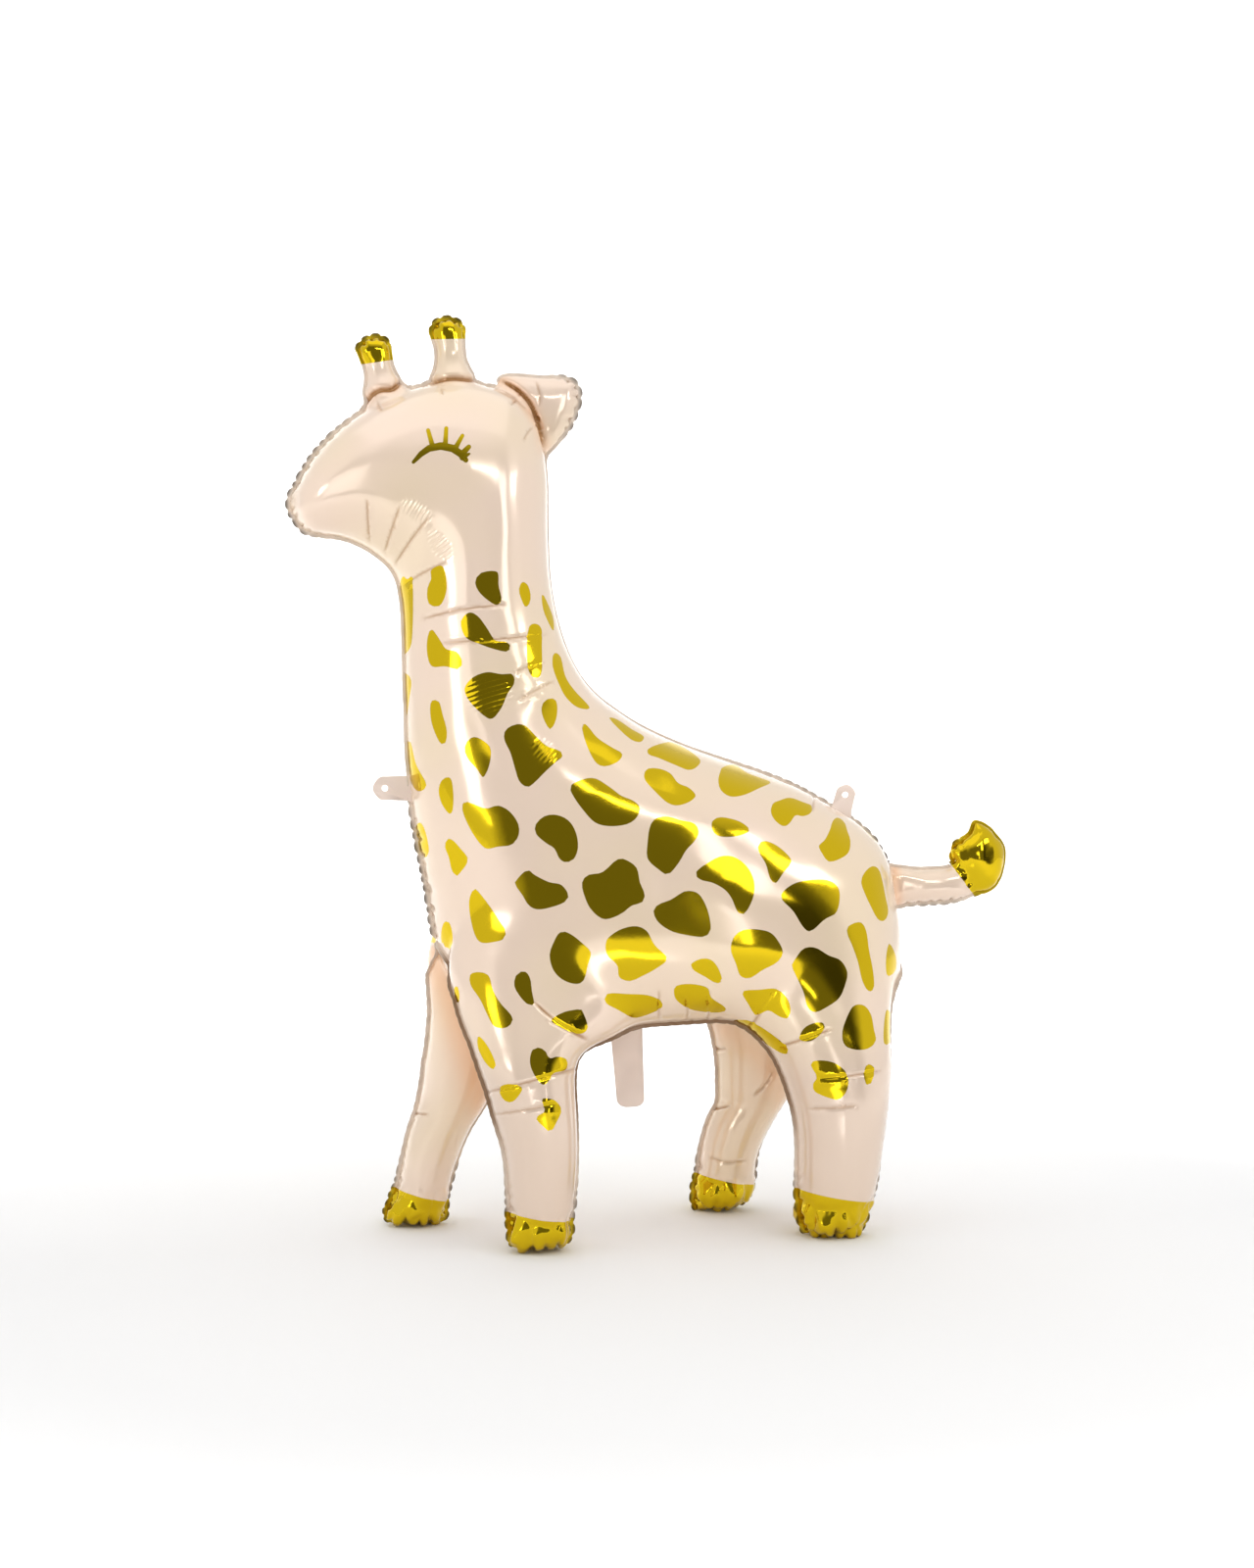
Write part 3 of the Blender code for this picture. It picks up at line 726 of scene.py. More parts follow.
def inside_distance(points, loop):
    """Distance to the closed outline, positive inside it."""
    nearest = np.full(len(points), np.inf)
    inside = np.zeros(len(points), bool)
    for start, end in zip(loop, np.roll(loop, -1, axis=0)):
        nearest = np.minimum(nearest, segment_distance(points, start, end)[0])
        straddles = (start[1] > points[:, 1]) != (end[1] > points[:, 1])
        if start[1] != end[1]:
            crossing = start[0] + (points[:, 1] - start[1]) * (end[0] - start[0]) / (end[1] - start[1])
            inside ^= straddles & (points[:, 0] < crossing)
    return np.where(inside, nearest, -nearest)


# The value of the gold print's field where no print is near.
FAR = -9.0
# The inner panels reach up to LEG_TOP at the legs. The far legs' print is slid below SLIDE_TOP, in full from
# SLIDE_FADE lower; LEG_DIVIDE parts front and rear legs.
LEG_DIVIDE = -20
LEG_TOP = 300
SLIDE_TOP = 290
SLIDE_FADE = 90


def smooth_share(share):
    """An eased share: 0 up to 0, 1 from 1."""
    share = np.clip(share, 0, 1)
    return share * share * (3 - 2 * share)


def leg_centres(height, side):
    """The middle x at the height, of the front and the rear leg of a side."""
    tables = [np.array(LEGS[f"{side}_{end}"], float) for end in ("front", "rear")]
    return [np.interp(height, rows[:, 0], (rows[:, 1] + rows[:, 2]) / 2) for rows in tables]


def near_side(points):
    """The points mirrored on to the near side, with the far legs slid over the near ones."""
    moved = points.copy()
    x, across, height = own_place(points)
    far = across > 0
    moved[far, 1] = 2 * STAND[1] - points[far, 1]
    near_front, near_rear = leg_centres(height, "near")
    far_front, far_rear = leg_centres(height, "far")
    slide = np.where(x < LEG_DIVIDE, near_front - far_front, near_rear - far_rear)
    moved[far, 0] += (slide * smooth_share((SLIDE_TOP - height) / SLIDE_FADE))[far] * MM
    return moved


def outer_panel(points):
    """True on the two printed side panels, and False on the plain inner panels of legs and belly."""
    _, across, height = own_place(points)
    rows = [(row[0], row[3]) for row in LEGS["near_front"] if row[0] <= LEG_TOP]
    edge = np.interp(height, [z for z, _ in rows] + [LEG_TOP + 22], [y for _, y in rows] + [-1])
    far_leg = (across > 0) & (height < LEG_TOP + 30)
    return np.abs(across) > edge + np.where(far_leg, 4.0, -1.0)


def gold_distance(points, spots=SPOTS, eye=EYE):
    """How far inside the gold print each point lies, in millimetres."""
    field = np.full(len(points), FAR)
    pixels = photo_pixels(near_side(points))
    x, across, height = own_place(points)
    outer = outer_panel(points)
    for spot in spots:
        loop = smooth_loop(spot, SPOT_STEPS)
        low, high = loop.min(axis=0) - 10, loop.max(axis=0) + 10
        close = np.flatnonzero(outer & ((pixels > low) & (pixels < high)).all(axis=1))
        if len(close):
            field[close] = np.maximum(field[close], inside_distance(pixels[close], loop))
    for stroke in eye:
        for (x0, y0, w0), (x1, y1, w1) in zip(stroke, stroke[1:]):
            away, share = segment_distance(pixels, np.array((x0, y0)), np.array((x1, y1)))
            field = np.maximum(field, np.where(away < 12, w0 + (w1 - w0) * share - away, FAR))
    for start, end, (left, top, right, bottom) in GOLD_CAPS:
        span = np.array(end, float) - start
        square = np.array((span[1], -span[0])) / np.linalg.norm(span)
        beyond = (pixels - np.array(start)) @ square
        zone = (pixels[:, 0] > left) & (pixels[:, 0] < right) & (pixels[:, 1] > top) & (pixels[:, 1] < bottom)
        field = np.where(zone, np.maximum(field, beyond), field)
    for name, (front_top, back_top) in HOOF_TOPS.items():
        side = name.split("_")[0]
        reach = np.array(LEGS[name][3][1:3], float)
        top = np.interp(x, reach, (front_top, back_top))
        zone = (height < 90) & ((across < 0) == (side == "near")) & (np.abs(x - reach.mean()) < 80)
        field = np.where(zone, np.maximum(field, top - height), field)
    return np.maximum(field, FAR)


def crease_depth(pixels, creases=CREASES):
    """How deep the creases press the film in at each pixel place, in millimetres."""
    depth = np.zeros(len(pixels))
    for width, deep, points in creases:
        line = smooth_rows([points[0], *points, points[-1]], 4)[4:-4]
        low, high = line.min(axis=0) - 14, line.max(axis=0) + 14
        close = np.flatnonzero(((pixels > low) & (pixels < high)).all(axis=1))
        if not len(close):
            continue
        best = np.full(len(close), np.inf)
        place = np.zeros(len(close))
        for k, (start, end) in enumerate(zip(line, line[1:])):
            away, share = segment_distance(pixels[close], start, end)
            nearer = away < best
            best = np.where(nearer, away, best)
            place = np.where(nearer, (k + share) / (len(line) - 1), place)
        ends = np.clip(np.minimum(place, 1 - place) * 5, 0, 1)
        width = width * CREASE_SHARPNESS
        shape = np.exp(-((best / width) ** 2)) - 0.25 * np.exp(-(((best - 2.6 * width) / width / 1.3) ** 2))
        depth[close] += deep * shape * ends
    return depth


def all_creases(points):
    """Depth of every crease on the panel that carries it, in millimetres."""
    printed = crease_depth(photo_pixels(near_side(points)))
    inner = crease_depth(photo_pixels(points), INNER_CREASES)
    return np.where(outer_panel(points), printed, np.where(points[:, 1] > STAND[1], inner, 0.0))


def painted_bounce_share(points):
    """How much painted warm bounce light and shade the film takes beside deep creases, and on the far legs
    where they run in behind the others.
    """
    outer = outer_panel(points)
    _, across, height = own_place(points)
    panels = {
        "outer": outer,
        "inner": ~outer & (across > 0) & (height > AMBER_LOW),
        "seam": np.abs(across) < SEAM_GLOW,
    }
    glow = np.zeros(len(points))
    for panel, width, strength, line in PAINTED_BOUNCES:
        pixels = photo_pixels(points if panel == "inner" else near_side(points))
        for start, end in zip(line, line[1:]):
            away, _ = segment_distance(pixels, np.array(start, float), np.array(end, float))
            shine = strength * np.exp(-((away / width) ** 2))
            glow = np.where(panels[panel], np.maximum(glow, shine), glow)
    return glow


def ripple_depth(pixels):
    """Height of the fine ripples at each pixel place, in millimetres, and how near it is to their middle."""
    depth = np.zeros(len(pixels))
    near = np.zeros(len(pixels))
    for (x, y), length, width, angle, spacing, deep in RIPPLES:
        turn = math.radians(angle)
        along = (pixels - (x, y)) @ np.array((math.cos(turn), math.sin(turn)))
        across = (pixels - (x, y)) @ np.array((-math.sin(turn), math.cos(turn)))
        mask = np.clip(1.6 * (1 - (along / length) ** 2 - (across / width) ** 2), 0, 1)
        wander = 0.5 * np.sin(across * 0.13 + 1.3) + 0.5 * np.sin(along * 0.41 + 0.4)
        depth += deep * mask * np.cos((along + wander) * 2 * math.pi / spacing)
        near = np.maximum(near, mask)
    return depth, near


SEAM_PITCH = 0.0018


class Seam:
    """A welded seam's line in metres, with its pucker along it and the pleats that gather it."""

    def __init__(
        self, name, points, pucker, seed, planar=False, reach=(14, 42), spacing=(8.5, 14.5), depth=1.0
    ):
        points = placed(points)
        pucker = np.broadcast_to(np.asarray(pucker, float), (len(points),))
        steps = np.linalg.norm(np.diff(points, axis=0), axis=1)
        length = np.concatenate(((0.0,), np.cumsum(steps)))
        self.name, self.planar = name, planar
        self.total = length[-1]
        self.at = np.arange(0, self.total, SEAM_PITCH)
        self.points = np.stack([np.interp(self.at, length, points[:, k]) for k in range(3)], axis=1)
        self.pucker = np.interp(self.at, length, pucker)
        dice = random.Random(seed)
        self.pleats = []
        place = dice.uniform(3, 8) * MM
        while place < self.total:
            strength = float(np.interp(place, self.at, self.pucker))
            deep = strength * depth * dice.uniform(0.6, 1.15)
            long = dice.uniform(*reach) * MM * (0.55 + 0.45 * strength)
            self.pleats.append((place, deep, long, dice.uniform(-0.3, 0.3)))
            place += dice.uniform(*spacing) * MM

    def groove(self, place, away):
        """Pleat depth from 0 to 1 at arc length place and distance away from the seam."""
        depth = np.zeros(len(place))
        for at, deep, long, skew in self.pleats:
            if deep < 0.03:
                continue
            width = 1.7 * MM + 0.09 * away
            beside = (place - at - skew * away) / width
            depth = np.maximum(depth, deep * np.exp(-beside * beside) * smooth_share(1 - away / long))
        return depth


# The columns of the legs' tables that hold their front and back edge.
FRONT_EDGE = 1
BACK_EDGE = 2


def edge_points(name, edge, sign, last):
    """A leg's front or back edge, as points from its sole to its ring last."""
    rows = smooth_rows(LEGS[name], LEG_STEPS)[: last * LEG_STEPS + 1]
    inset = FLANGE if edge == FRONT_EDGE else -FLANGE
    return [(row[edge] + inset, sign * row[3], row[0]) for row in rows]


def all_seams():
    """Every welded seam: the outline, three on each side's legs, and those of horns, ear, tail and tuft."""
    low, high, rows = trunk_edges(TRUNK_STEPS)
    chest, rump = CHEST_SPLIT * TRUNK_STEPS, RUMP_SPLIT * TRUNK_STEPS
    snout = low[:1] * 0.5 + high[:1] * 0.5
    outline = np.concatenate((low[chest::-1], snout, high[: rump + 1]))
    pucker = np.concatenate((rows[chest::-1, 7], (1.0,), rows[: rump + 1, 8]))
    seams = [Seam("outline", outline, pucker, 11, planar=True)]
    for k, (side, sign) in enumerate(SIDES.items()):
        front, rear = f"{side}_front", f"{side}_rear"
        front_leg = [tuple(low[chest])] + edge_points(front, FRONT_EDGE, sign, len(LEGS[front]) - 3)[::-1]
        rear_leg = [tuple(high[rump])] + edge_points(rear, BACK_EDGE, sign, len(LEGS[rear]) - 2)[::-1]
        back_edge = edge_points(front, BACK_EDGE, sign, BELLY_TURNS[front])
        front_edge = edge_points(rear, FRONT_EDGE, sign, BELLY_TURNS[rear])[::-1]
        start, end = np.array(back_edge[-1]), np.array(front_edge[0])
        sag = [start + (end - start) * t - (0, 0, 5 * math.sin(math.pi * t)) for t in (0.25, 0.5, 0.75)]
        belly = back_edge + sag + front_edge
        for name, path, heights, strengths, seed in (
            ("chest_leg", front_leg, (0, 45, 80, 250), (1.0, 0.9, 0.25, 0.3), 21 + k),
            ("rump_leg", rear_leg, (0, 45, 80, 250), (1.0, 0.9, 0.25, 0.3), 31 + k),
            ("belly", belly, (0, 45, 80, 190, 225), (1.0, 0.9, 0.2, 0.25, 0.35), 41 + k),
        ):
            pucker = np.interp([point[2] for point in path], heights, strengths)
            seams.append(Seam(f"{side}_{name}", path, pucker, seed))
    for k, name in enumerate(HORNS):
        left, right, _ = horn_edges(name)
        path = np.concatenate((left, right[::-1]))
        share = np.concatenate((np.linspace(0, 1, len(left)), np.linspace(1, 0, len(right))))
        pucker = np.interp(share, (0, 0.6, 0.76, 1), (0.05, 0.08, 1, 1))
        seams.append(Seam(name, path, pucker, 71 + k, True, (15, 24), (10.5, 13.5), 1.9))
    for k, (name, (calm, lively, side)) in enumerate(LOBE_PUCKER.items()):
        _, loop = lobe_outline(name)
        middle = loop.mean(axis=0)
        away = (loop - middle) / np.linalg.norm(loop - middle, axis=1)[:, None]
        turn = math.radians(side)
        toward = away[:, 0] * math.cos(turn) + away[:, 2] * math.sin(turn)
        strength = calm + (lively - calm) * np.clip(toward * 1.8 - 0.3, 0, 1)
        loop = middle + (loop - middle) * 0.95
        loop, strength = np.concatenate((loop, loop[:1])), np.append(strength, strength[0])
        seams.append(Seam(name, loop, strength, 81 + k, True, (12, 26), (11.0, 15.5), 2.0))
    return seams


class SeamMap:
    """Finds the nearest place on any seam."""

    def __init__(self, seams):
        self.seams = seams
        self.owner = np.concatenate([np.full(len(seam.at), k) for k, seam in enumerate(seams)])
        self.place = np.concatenate([seam.at for seam in seams])
        self.strength = np.concatenate([seam.pucker for seam in seams])
        points = np.concatenate([seam.points for seam in seams])
        self.tree = kdtree.KDTree(len(points))
        for k, point in enumerate(points):
            self.tree.insert(point, k)
        self.tree.balance()

    def nearest(self, points):
        index = np.empty(len(points), int)
        away = np.empty(len(points))
        for k, point in enumerate(points):
            _, index[k], away[k] = self.tree.find(point)
        return index, away

    def pleat(self, points):
        """Groove depth from 0 to 1, distance to the seam, and its pucker there."""
        index, away = self.nearest(points)
        depth = np.zeros(len(points))
        for k, seam in enumerate(self.seams):
            mine = np.flatnonzero((self.owner[index] == k) & (away < 0.07))
            if len(mine):
                depth[mine] = seam.groove(self.place[index[mine]], away[mine])
        return depth, away, self.strength[index]


def subdivide_where(piece, test):
    """Cuts each face whose centre passes the test in four."""
    chosen = test(read_mesh(piece.data.polygons, "center"))
    choose(piece)
    bpy.ops.object.mode_set(mode="EDIT")
    bpy.ops.mesh.select_mode(type="FACE")
    bpy.ops.mesh.select_all(action="DESELECT")
    bpy.ops.object.mode_set(mode="OBJECT")
    piece.data.polygons.foreach_set("select", chosen)
    bpy.ops.object.mode_set(mode="EDIT")
    bpy.ops.mesh.subdivide(number_cuts=1, smoothness=0.0)
    bpy.ops.object.mode_set(mode="OBJECT")


def relax(piece, rounds):
    apply_modifier(piece, "SMOOTH", factor=0.5, iterations=rounds)


def soften_joints(piece, rounds):
    """Smooths the flanks where the leg tubes run into the trunk, so that each side panel flows over them."""
    _, across, height = own_place(vertices_of(piece))
    weight = np.clip((height - 180) / 40, 0, 1) * np.clip((385 - height) / 60, 0, 1)
    weight *= np.clip((np.abs(across) - 45) / 25, 0, 1)
    group = piece.vertex_groups.new(name="joints")
    levels = np.rint(weight * 10).astype(int)
    for level in range(1, 11):
        group.add(np.flatnonzero(levels == level).tolist(), level / 10, "REPLACE")
    apply_modifier(piece, "SMOOTH", factor=0.5, iterations=rounds, vertex_group="joints")
    piece.vertex_groups.clear()


PUFF_WIDTH = 13.5


def hoof_pleats(points):
    """Each hoof's gathers: depth, 0 to 1, of its upright pleats and of the notches between its puffs."""
    pleat, notch = np.zeros(len(points)), np.zeros(len(points))
    x, across, height = own_place(points)
    for number, (name, rows) in enumerate(LEGS.items()):
        side = name.split("_")[0]
        front, back = rows[1][1] - 4, rows[1][2] + 4
        mine = (height < 34) & (x > front - 9) & (x < back + 9) & ((across < 0) == (side == "near"))
        dice = random.Random(100 + number)
        puffs = max(round((back - front) / PUFF_WIDTH), 4)
        places = [front + (back - front) * (k + dice.uniform(-0.12, 0.12)) / puffs for k in range(puffs + 1)]
        for place in places:
            top, skew, deep = dice.uniform(14, 30), dice.uniform(-0.25, 0.25), dice.uniform(0.6, 1.0)
            beside = (x - place - skew * height) / (1.6 + 0.04 * height)
            fade = np.clip(1 - height / top, 0, 1)
            pleat = np.maximum(pleat, np.where(mine, deep * np.exp(-beside * beside) * fade * (2 - fade), 0))
        share = np.interp(x, places, np.arange(puffs + 1)) % 1.0
        arch = 1 - np.sqrt(np.clip(1 - (2 * share - 1) ** 2, 0, 1))
        notch = np.where(mine, arch * np.clip(1 - height / 15, 0, 1), notch)
    return pleat, notch


def crumpled_cells(points, size, seed):
    """Puffs of crumpled film with sharp folds between them, about 0 to 1."""
    shift = Vector((seed * 1.3, seed * 2.9, seed * 0.7))
    stretch = np.array((1.0, 1.0, 0.62)) / size
    found = (noise.voronoi(Vector(point * stretch) + shift)[0] for point in points)
    return np.array([near[1] - near[0] for near in found])


# How far out the rays start and end that look for folds.
RAY_START = 0.0012
RAY_END = 0.03


def hollow_share(piece):
    """How far each point lies in a crease or hollow, from 0 to 1, by rays that leave the film and meet it
    again; painted shade there follows it.
    """
    tree = surface_tree(piece)
    points = vertices_of(piece)
    share = np.zeros(len(points))
    for k, (point, normal) in enumerate(zip(points, read_mesh(piece.data.vertices, "normal"))):
        out = Vector(normal)
        start = Vector(point) + out * RAY_START
        side = out.orthogonal().normalized()
        other = out.cross(side)
        for ray in (out, out + side, out - side, out + other, out - other):
            away = tree.ray_cast(start, ray.normalized(), RAY_END)[3]
            if away is not None:
                share[k] += 0.2 * (1 - away / RAY_END)
    return share


def wave(points, size, seed):
    """Slow waves of about the given size, from -1 to 1."""
    shift = Vector((seed * 3.1, seed * 1.7, seed * 2.3))
    return np.array([noise.noise(Vector(point) / size + shift) for point in points])


def write_attribute(piece, name, values):
    made = piece.data.attributes.new(name, "FLOAT", "POINT")
    made.data.foreach_set("value", np.asarray(values, np.float32))


def scaled(colour, share):
    return tuple(channel * share for channel in colour)


def add_node(tree, kind, **values):
    node = tree.nodes.new(kind)
    for key, value in values.items():
        setattr(node, key, value)
    return node


def link(tree, start, end):
    tree.links.new(start, end)


def film_ripple_group():
    """Shared node group: slow and fine unevenness of stretched film, as a height and a soft mask."""
    found = bpy.data.node_groups.get("Stretched film")
    if found:
        return found
    group = bpy.data.node_groups.new("Stretched film", "ShaderNodeTree")
    size = group.interface.new_socket("Size", in_out="INPUT", socket_type="NodeSocketFloat")
    size.default_value = 9.0
    group.interface.new_socket("Height", in_out="OUTPUT", socket_type="NodeSocketFloat")
    group.interface.new_socket("Cloud", in_out="OUTPUT", socket_type="NodeSocketFloat")
    begin = add_node(group, "NodeGroupInput")
    end = add_node(group, "NodeGroupOutput")
    place = add_node(group, "ShaderNodeTexCoord")
    slow = add_node(group, "ShaderNodeTexNoise", noise_dimensions="3D")
    slow.inputs["Detail"].default_value = 1.0
    fine = add_node(group, "ShaderNodeTexNoise", noise_dimensions="3D")
    fine.inputs["Detail"].default_value = 3.0
    scale = add_node(group, "ShaderNodeMath", operation="MULTIPLY")
    scale.inputs[1].default_value = 7.0
    total = add_node(group, "ShaderNodeMath", operation="MULTIPLY_ADD")
    total.inputs[1].default_value = 0.12
    link(group, place.outputs["Object"], slow.inputs["Vector"])
    link(group, place.outputs["Object"], fine.inputs["Vector"])
    link(group, begin.outputs["Size"], slow.inputs["Scale"])
    link(group, begin.outputs["Size"], scale.inputs[0])
    link(group, scale.outputs[0], fine.inputs["Scale"])
    link(group, fine.outputs["Fac"], total.inputs[0])
    link(group, slow.outputs["Fac"], total.inputs[2])
    link(group, total.outputs[0], end.inputs["Height"])
    link(group, slow.outputs["Fac"], end.inputs["Cloud"])
    return group


def blend_colour(tree, share, first, second):
    """A Mix node of two colours, each a plain value or a socket."""
    mix = add_node(tree, "ShaderNodeMix", data_type="RGBA")
    for key, value in (("A", first), ("B", second)):
        target = next(item for item in mix.inputs if item.name == key and item.type == "RGBA")
        if isinstance(value, bpy.types.NodeSocket):
            link(tree, value, target)
        else:
            target.default_value = (*value, 1.0)
    link(tree, share, mix.inputs[0])
    return next(item for item in mix.outputs if item.type == "RGBA")


def map_range(tree, source, low, high, first, second, kind="LINEAR"):
    """A Map Range node: first at low and below, second at high and above."""
    spread = add_node(tree, "ShaderNodeMapRange", interpolation_type=kind)
    link(tree, source, spread.inputs["Value"])
    for key, value in (("From Min", low), ("From Max", high), ("To Min", first), ("To Max", second)):
        spread.inputs[key].default_value = value
    return spread.outputs["Result"]


def blend_value(tree, share, first, second):
    return map_range(tree, share, 0.0, 1.0, first, second)


def remap(tree, source, low, high):
    return map_range(tree, source, low, high, 0.0, 1.0)


def mesh_value(tree, name):
    """A value that the piece's mesh carries at its points."""
    return add_node(tree, "ShaderNodeAttribute", attribute_name=name).outputs["Fac"]


def film_bump(tree, shader, film, strength, distance):
    bump = add_node(tree, "ShaderNodeBump")
    bump.inputs["Strength"].default_value = strength
    bump.inputs["Distance"].default_value = distance
    link(tree, film.outputs["Height"], bump.inputs["Height"])
    link(tree, bump.outputs["Normal"], shader.inputs["Normal"])


def new_material(name, waves):
    """A material with its tree, its shader and the stretched film's group, at so many waves to the metre."""
    made = bpy.data.materials.new(name)
    made.use_nodes = True
    tree = made.node_tree
    film = add_node(tree, "ShaderNodeGroup")
    film.node_tree = film_ripple_group()
    film.inputs["Size"].default_value = waves
    return made, tree, tree.nodes["Principled BSDF"], film


def printed_foil(name, cream, blush, painted_shade_tone, glow, gold):
    """Cream pearl film with gold print: both are read from the skin's own attributes, as are the painted
    shade and painted warm bounce light mixed into its colour.
    """
    made, tree, shader, film = new_material(name, 8.0)
    gold_share = remap(tree, mesh_value(tree, "gold_print"), -0.25, 0.25)
    tone = blend_colour(tree, remap(tree, film.outputs["Cloud"], 0.35, 0.65), cream, blush)
    # Painted shade on the near legs, painted warm bounce light and shade beside creases and between the legs,
    # and painted shade deep in creases and hollows.
    for share, colour in (("leg_shade", scaled(blush, 0.9)), ("glow", glow), ("crease_shade", painted_shade_tone)):
        tone = blend_colour(tree, mesh_value(tree, share), tone, colour)
    colour = blend_colour(tree, gold_share, tone, gold)
    link(tree, colour, shader.inputs["Base Color"])
    link(tree, blend_value(tree, gold_share, 0.2, 1.0), shader.inputs["Metallic"])
    link(tree, blend_value(tree, gold_share, 0.15, 0.09), shader.inputs["Roughness"])
    link(tree, blend_value(tree, gold_share, 0.5, 0.0), shader.inputs["Coat Weight"])
    shader.inputs["Coat Roughness"].default_value = 0.05
    film_bump(tree, shader, film, 0.25, 0.0012)
    return made


def plain_film(name, colour, shade, roughness):
    """Film without print, for tabs and strip: its clouds take that share of the colour."""
    made, tree, shader, film = new_material(name, 30.0)
    tone = blend_colour(tree, remap(tree, film.outputs["Cloud"], 0.3, 0.7), colour, scaled(colour, shade))
    link(tree, tone, shader.inputs["Base Color"])
    shader.inputs["Metallic"].default_value = 0.15
    gloss = blend_value(tree, film.outputs["Cloud"], roughness - 0.05, roughness + 0.08)
    link(tree, gloss, shader.inputs["Roughness"])
    film_bump(tree, shader, film, 0.4, 0.0006)
    return made


def seam_film(name, colour, dark, gold, painted_shade_tone):
    """The weld's own film: shaded on its bulges and warmly shaded between the legs, both painted into its
    colour, gold where the print crosses it.
    """
    made, tree, shader, film = new_material(name, 60.0)
    gold_share = remap(tree, mesh_value(tree, "gold_print"), -0.3, 0.3)
    tone = blend_colour(tree, remap(tree, film.outputs["Cloud"], 0.35, 0.7), colour, scaled(colour, 0.84))
    tone = blend_colour(tree, blend_value(tree, mesh_value(tree, "weld_contact_shade"), 0.0, 0.85), tone, painted_shade_tone)
    tone = blend_colour(tree, gold_share, tone, gold)
    tone = blend_colour(tree, blend_value(tree, mesh_value(tree, "weld_shade"), 0.0, 0.9), tone, dark)
    link(tree, tone, shader.inputs["Base Color"])
    link(tree, blend_value(tree, gold_share, 0.1, 0.9), shader.inputs["Metallic"])
    shader.inputs["Roughness"].default_value = 0.32
    film_bump(tree, shader, film, 0.4, 0.0005)
    return made


def finish_piece(piece, material, slot, *nodes):
    """Gives the piece its material and its body, and hides the nodes of the frame that it replaces; its slot
    is not used.
    """
    piece.data.materials.clear()
    piece.data.materials.append(material)
    piece.data.shade_smooth()
    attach(piece, "root")
    if nodes:
        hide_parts(*nodes)


# Gold above HORN_GOLD or beyond TUFT_GOLD in x is crumpled too, by TIP_CRUMPLE of the hooves' share.
HORN_GOLD = 930
TUFT_GOLD = 330
TIP_CRUMPLE = 0.34


def hoof_zone(points):
    """1 in the crumpled gold of hooves, horn tips and tuft, 0 elsewhere."""
    x, _, height = own_place(points)
    zone = np.clip((HOOF_HEIGHT - height) / 10, 0, 1)
    gold = gold_distance(points)
    tips = ((height > HORN_GOLD) | (x > TUFT_GOLD)) & (gold > 0)
    return np.maximum(zone, np.where(tips, TIP_CRUMPLE * np.clip(gold / 5, 0, 1), 0))


JOINT_ROUNDS = 160
# The film's relief: puffs beside a seam's pleats, the hooves' pleats and notches as shares of the pucker
# depth, slow waves and crumpled cells as size, seed and share; the lowest place of any film, and the most
# painted shade that creases and hollows take.
PUFF_HEIGHT = 0.35
PUFF_REACH = 0.022
HOOF_PLEAT = 1.3
HOOF_NOTCH = 0.6
SLOW_WAVES = ((0.075, 1, 1.0), (0.035, 2, 0.5))
CRUMPLED_CELLS = ((0.028, 3, 1.0), (0.01, 5, 0.12))
LOWEST = 0.0002
DARKEST = 0.9
# Where the skin's mesh is refined: beside lively seams, round the eye, in creases and in ripples.
PLEATED = 0.012
LIVELY = 0.3
EYE_MIDDLE = (449, 455)
EYE_HEIGHT = 700
CREASED = 0.12
DEEPLY_CREASED = 0.7
RIPPLED = 0.1
# Painted shade darkens the near legs below the first of these heights, in full from the second lower down.
LEG_SHADE_TOP = 235
LEG_SHADE_FADE = 65


def beside_eye(centres, pixels, reach):
    return (np.abs(pixels - EYE_MIDDLE) < reach).all(axis=1) & (own_place(centres)[2] > EYE_HEIGHT)


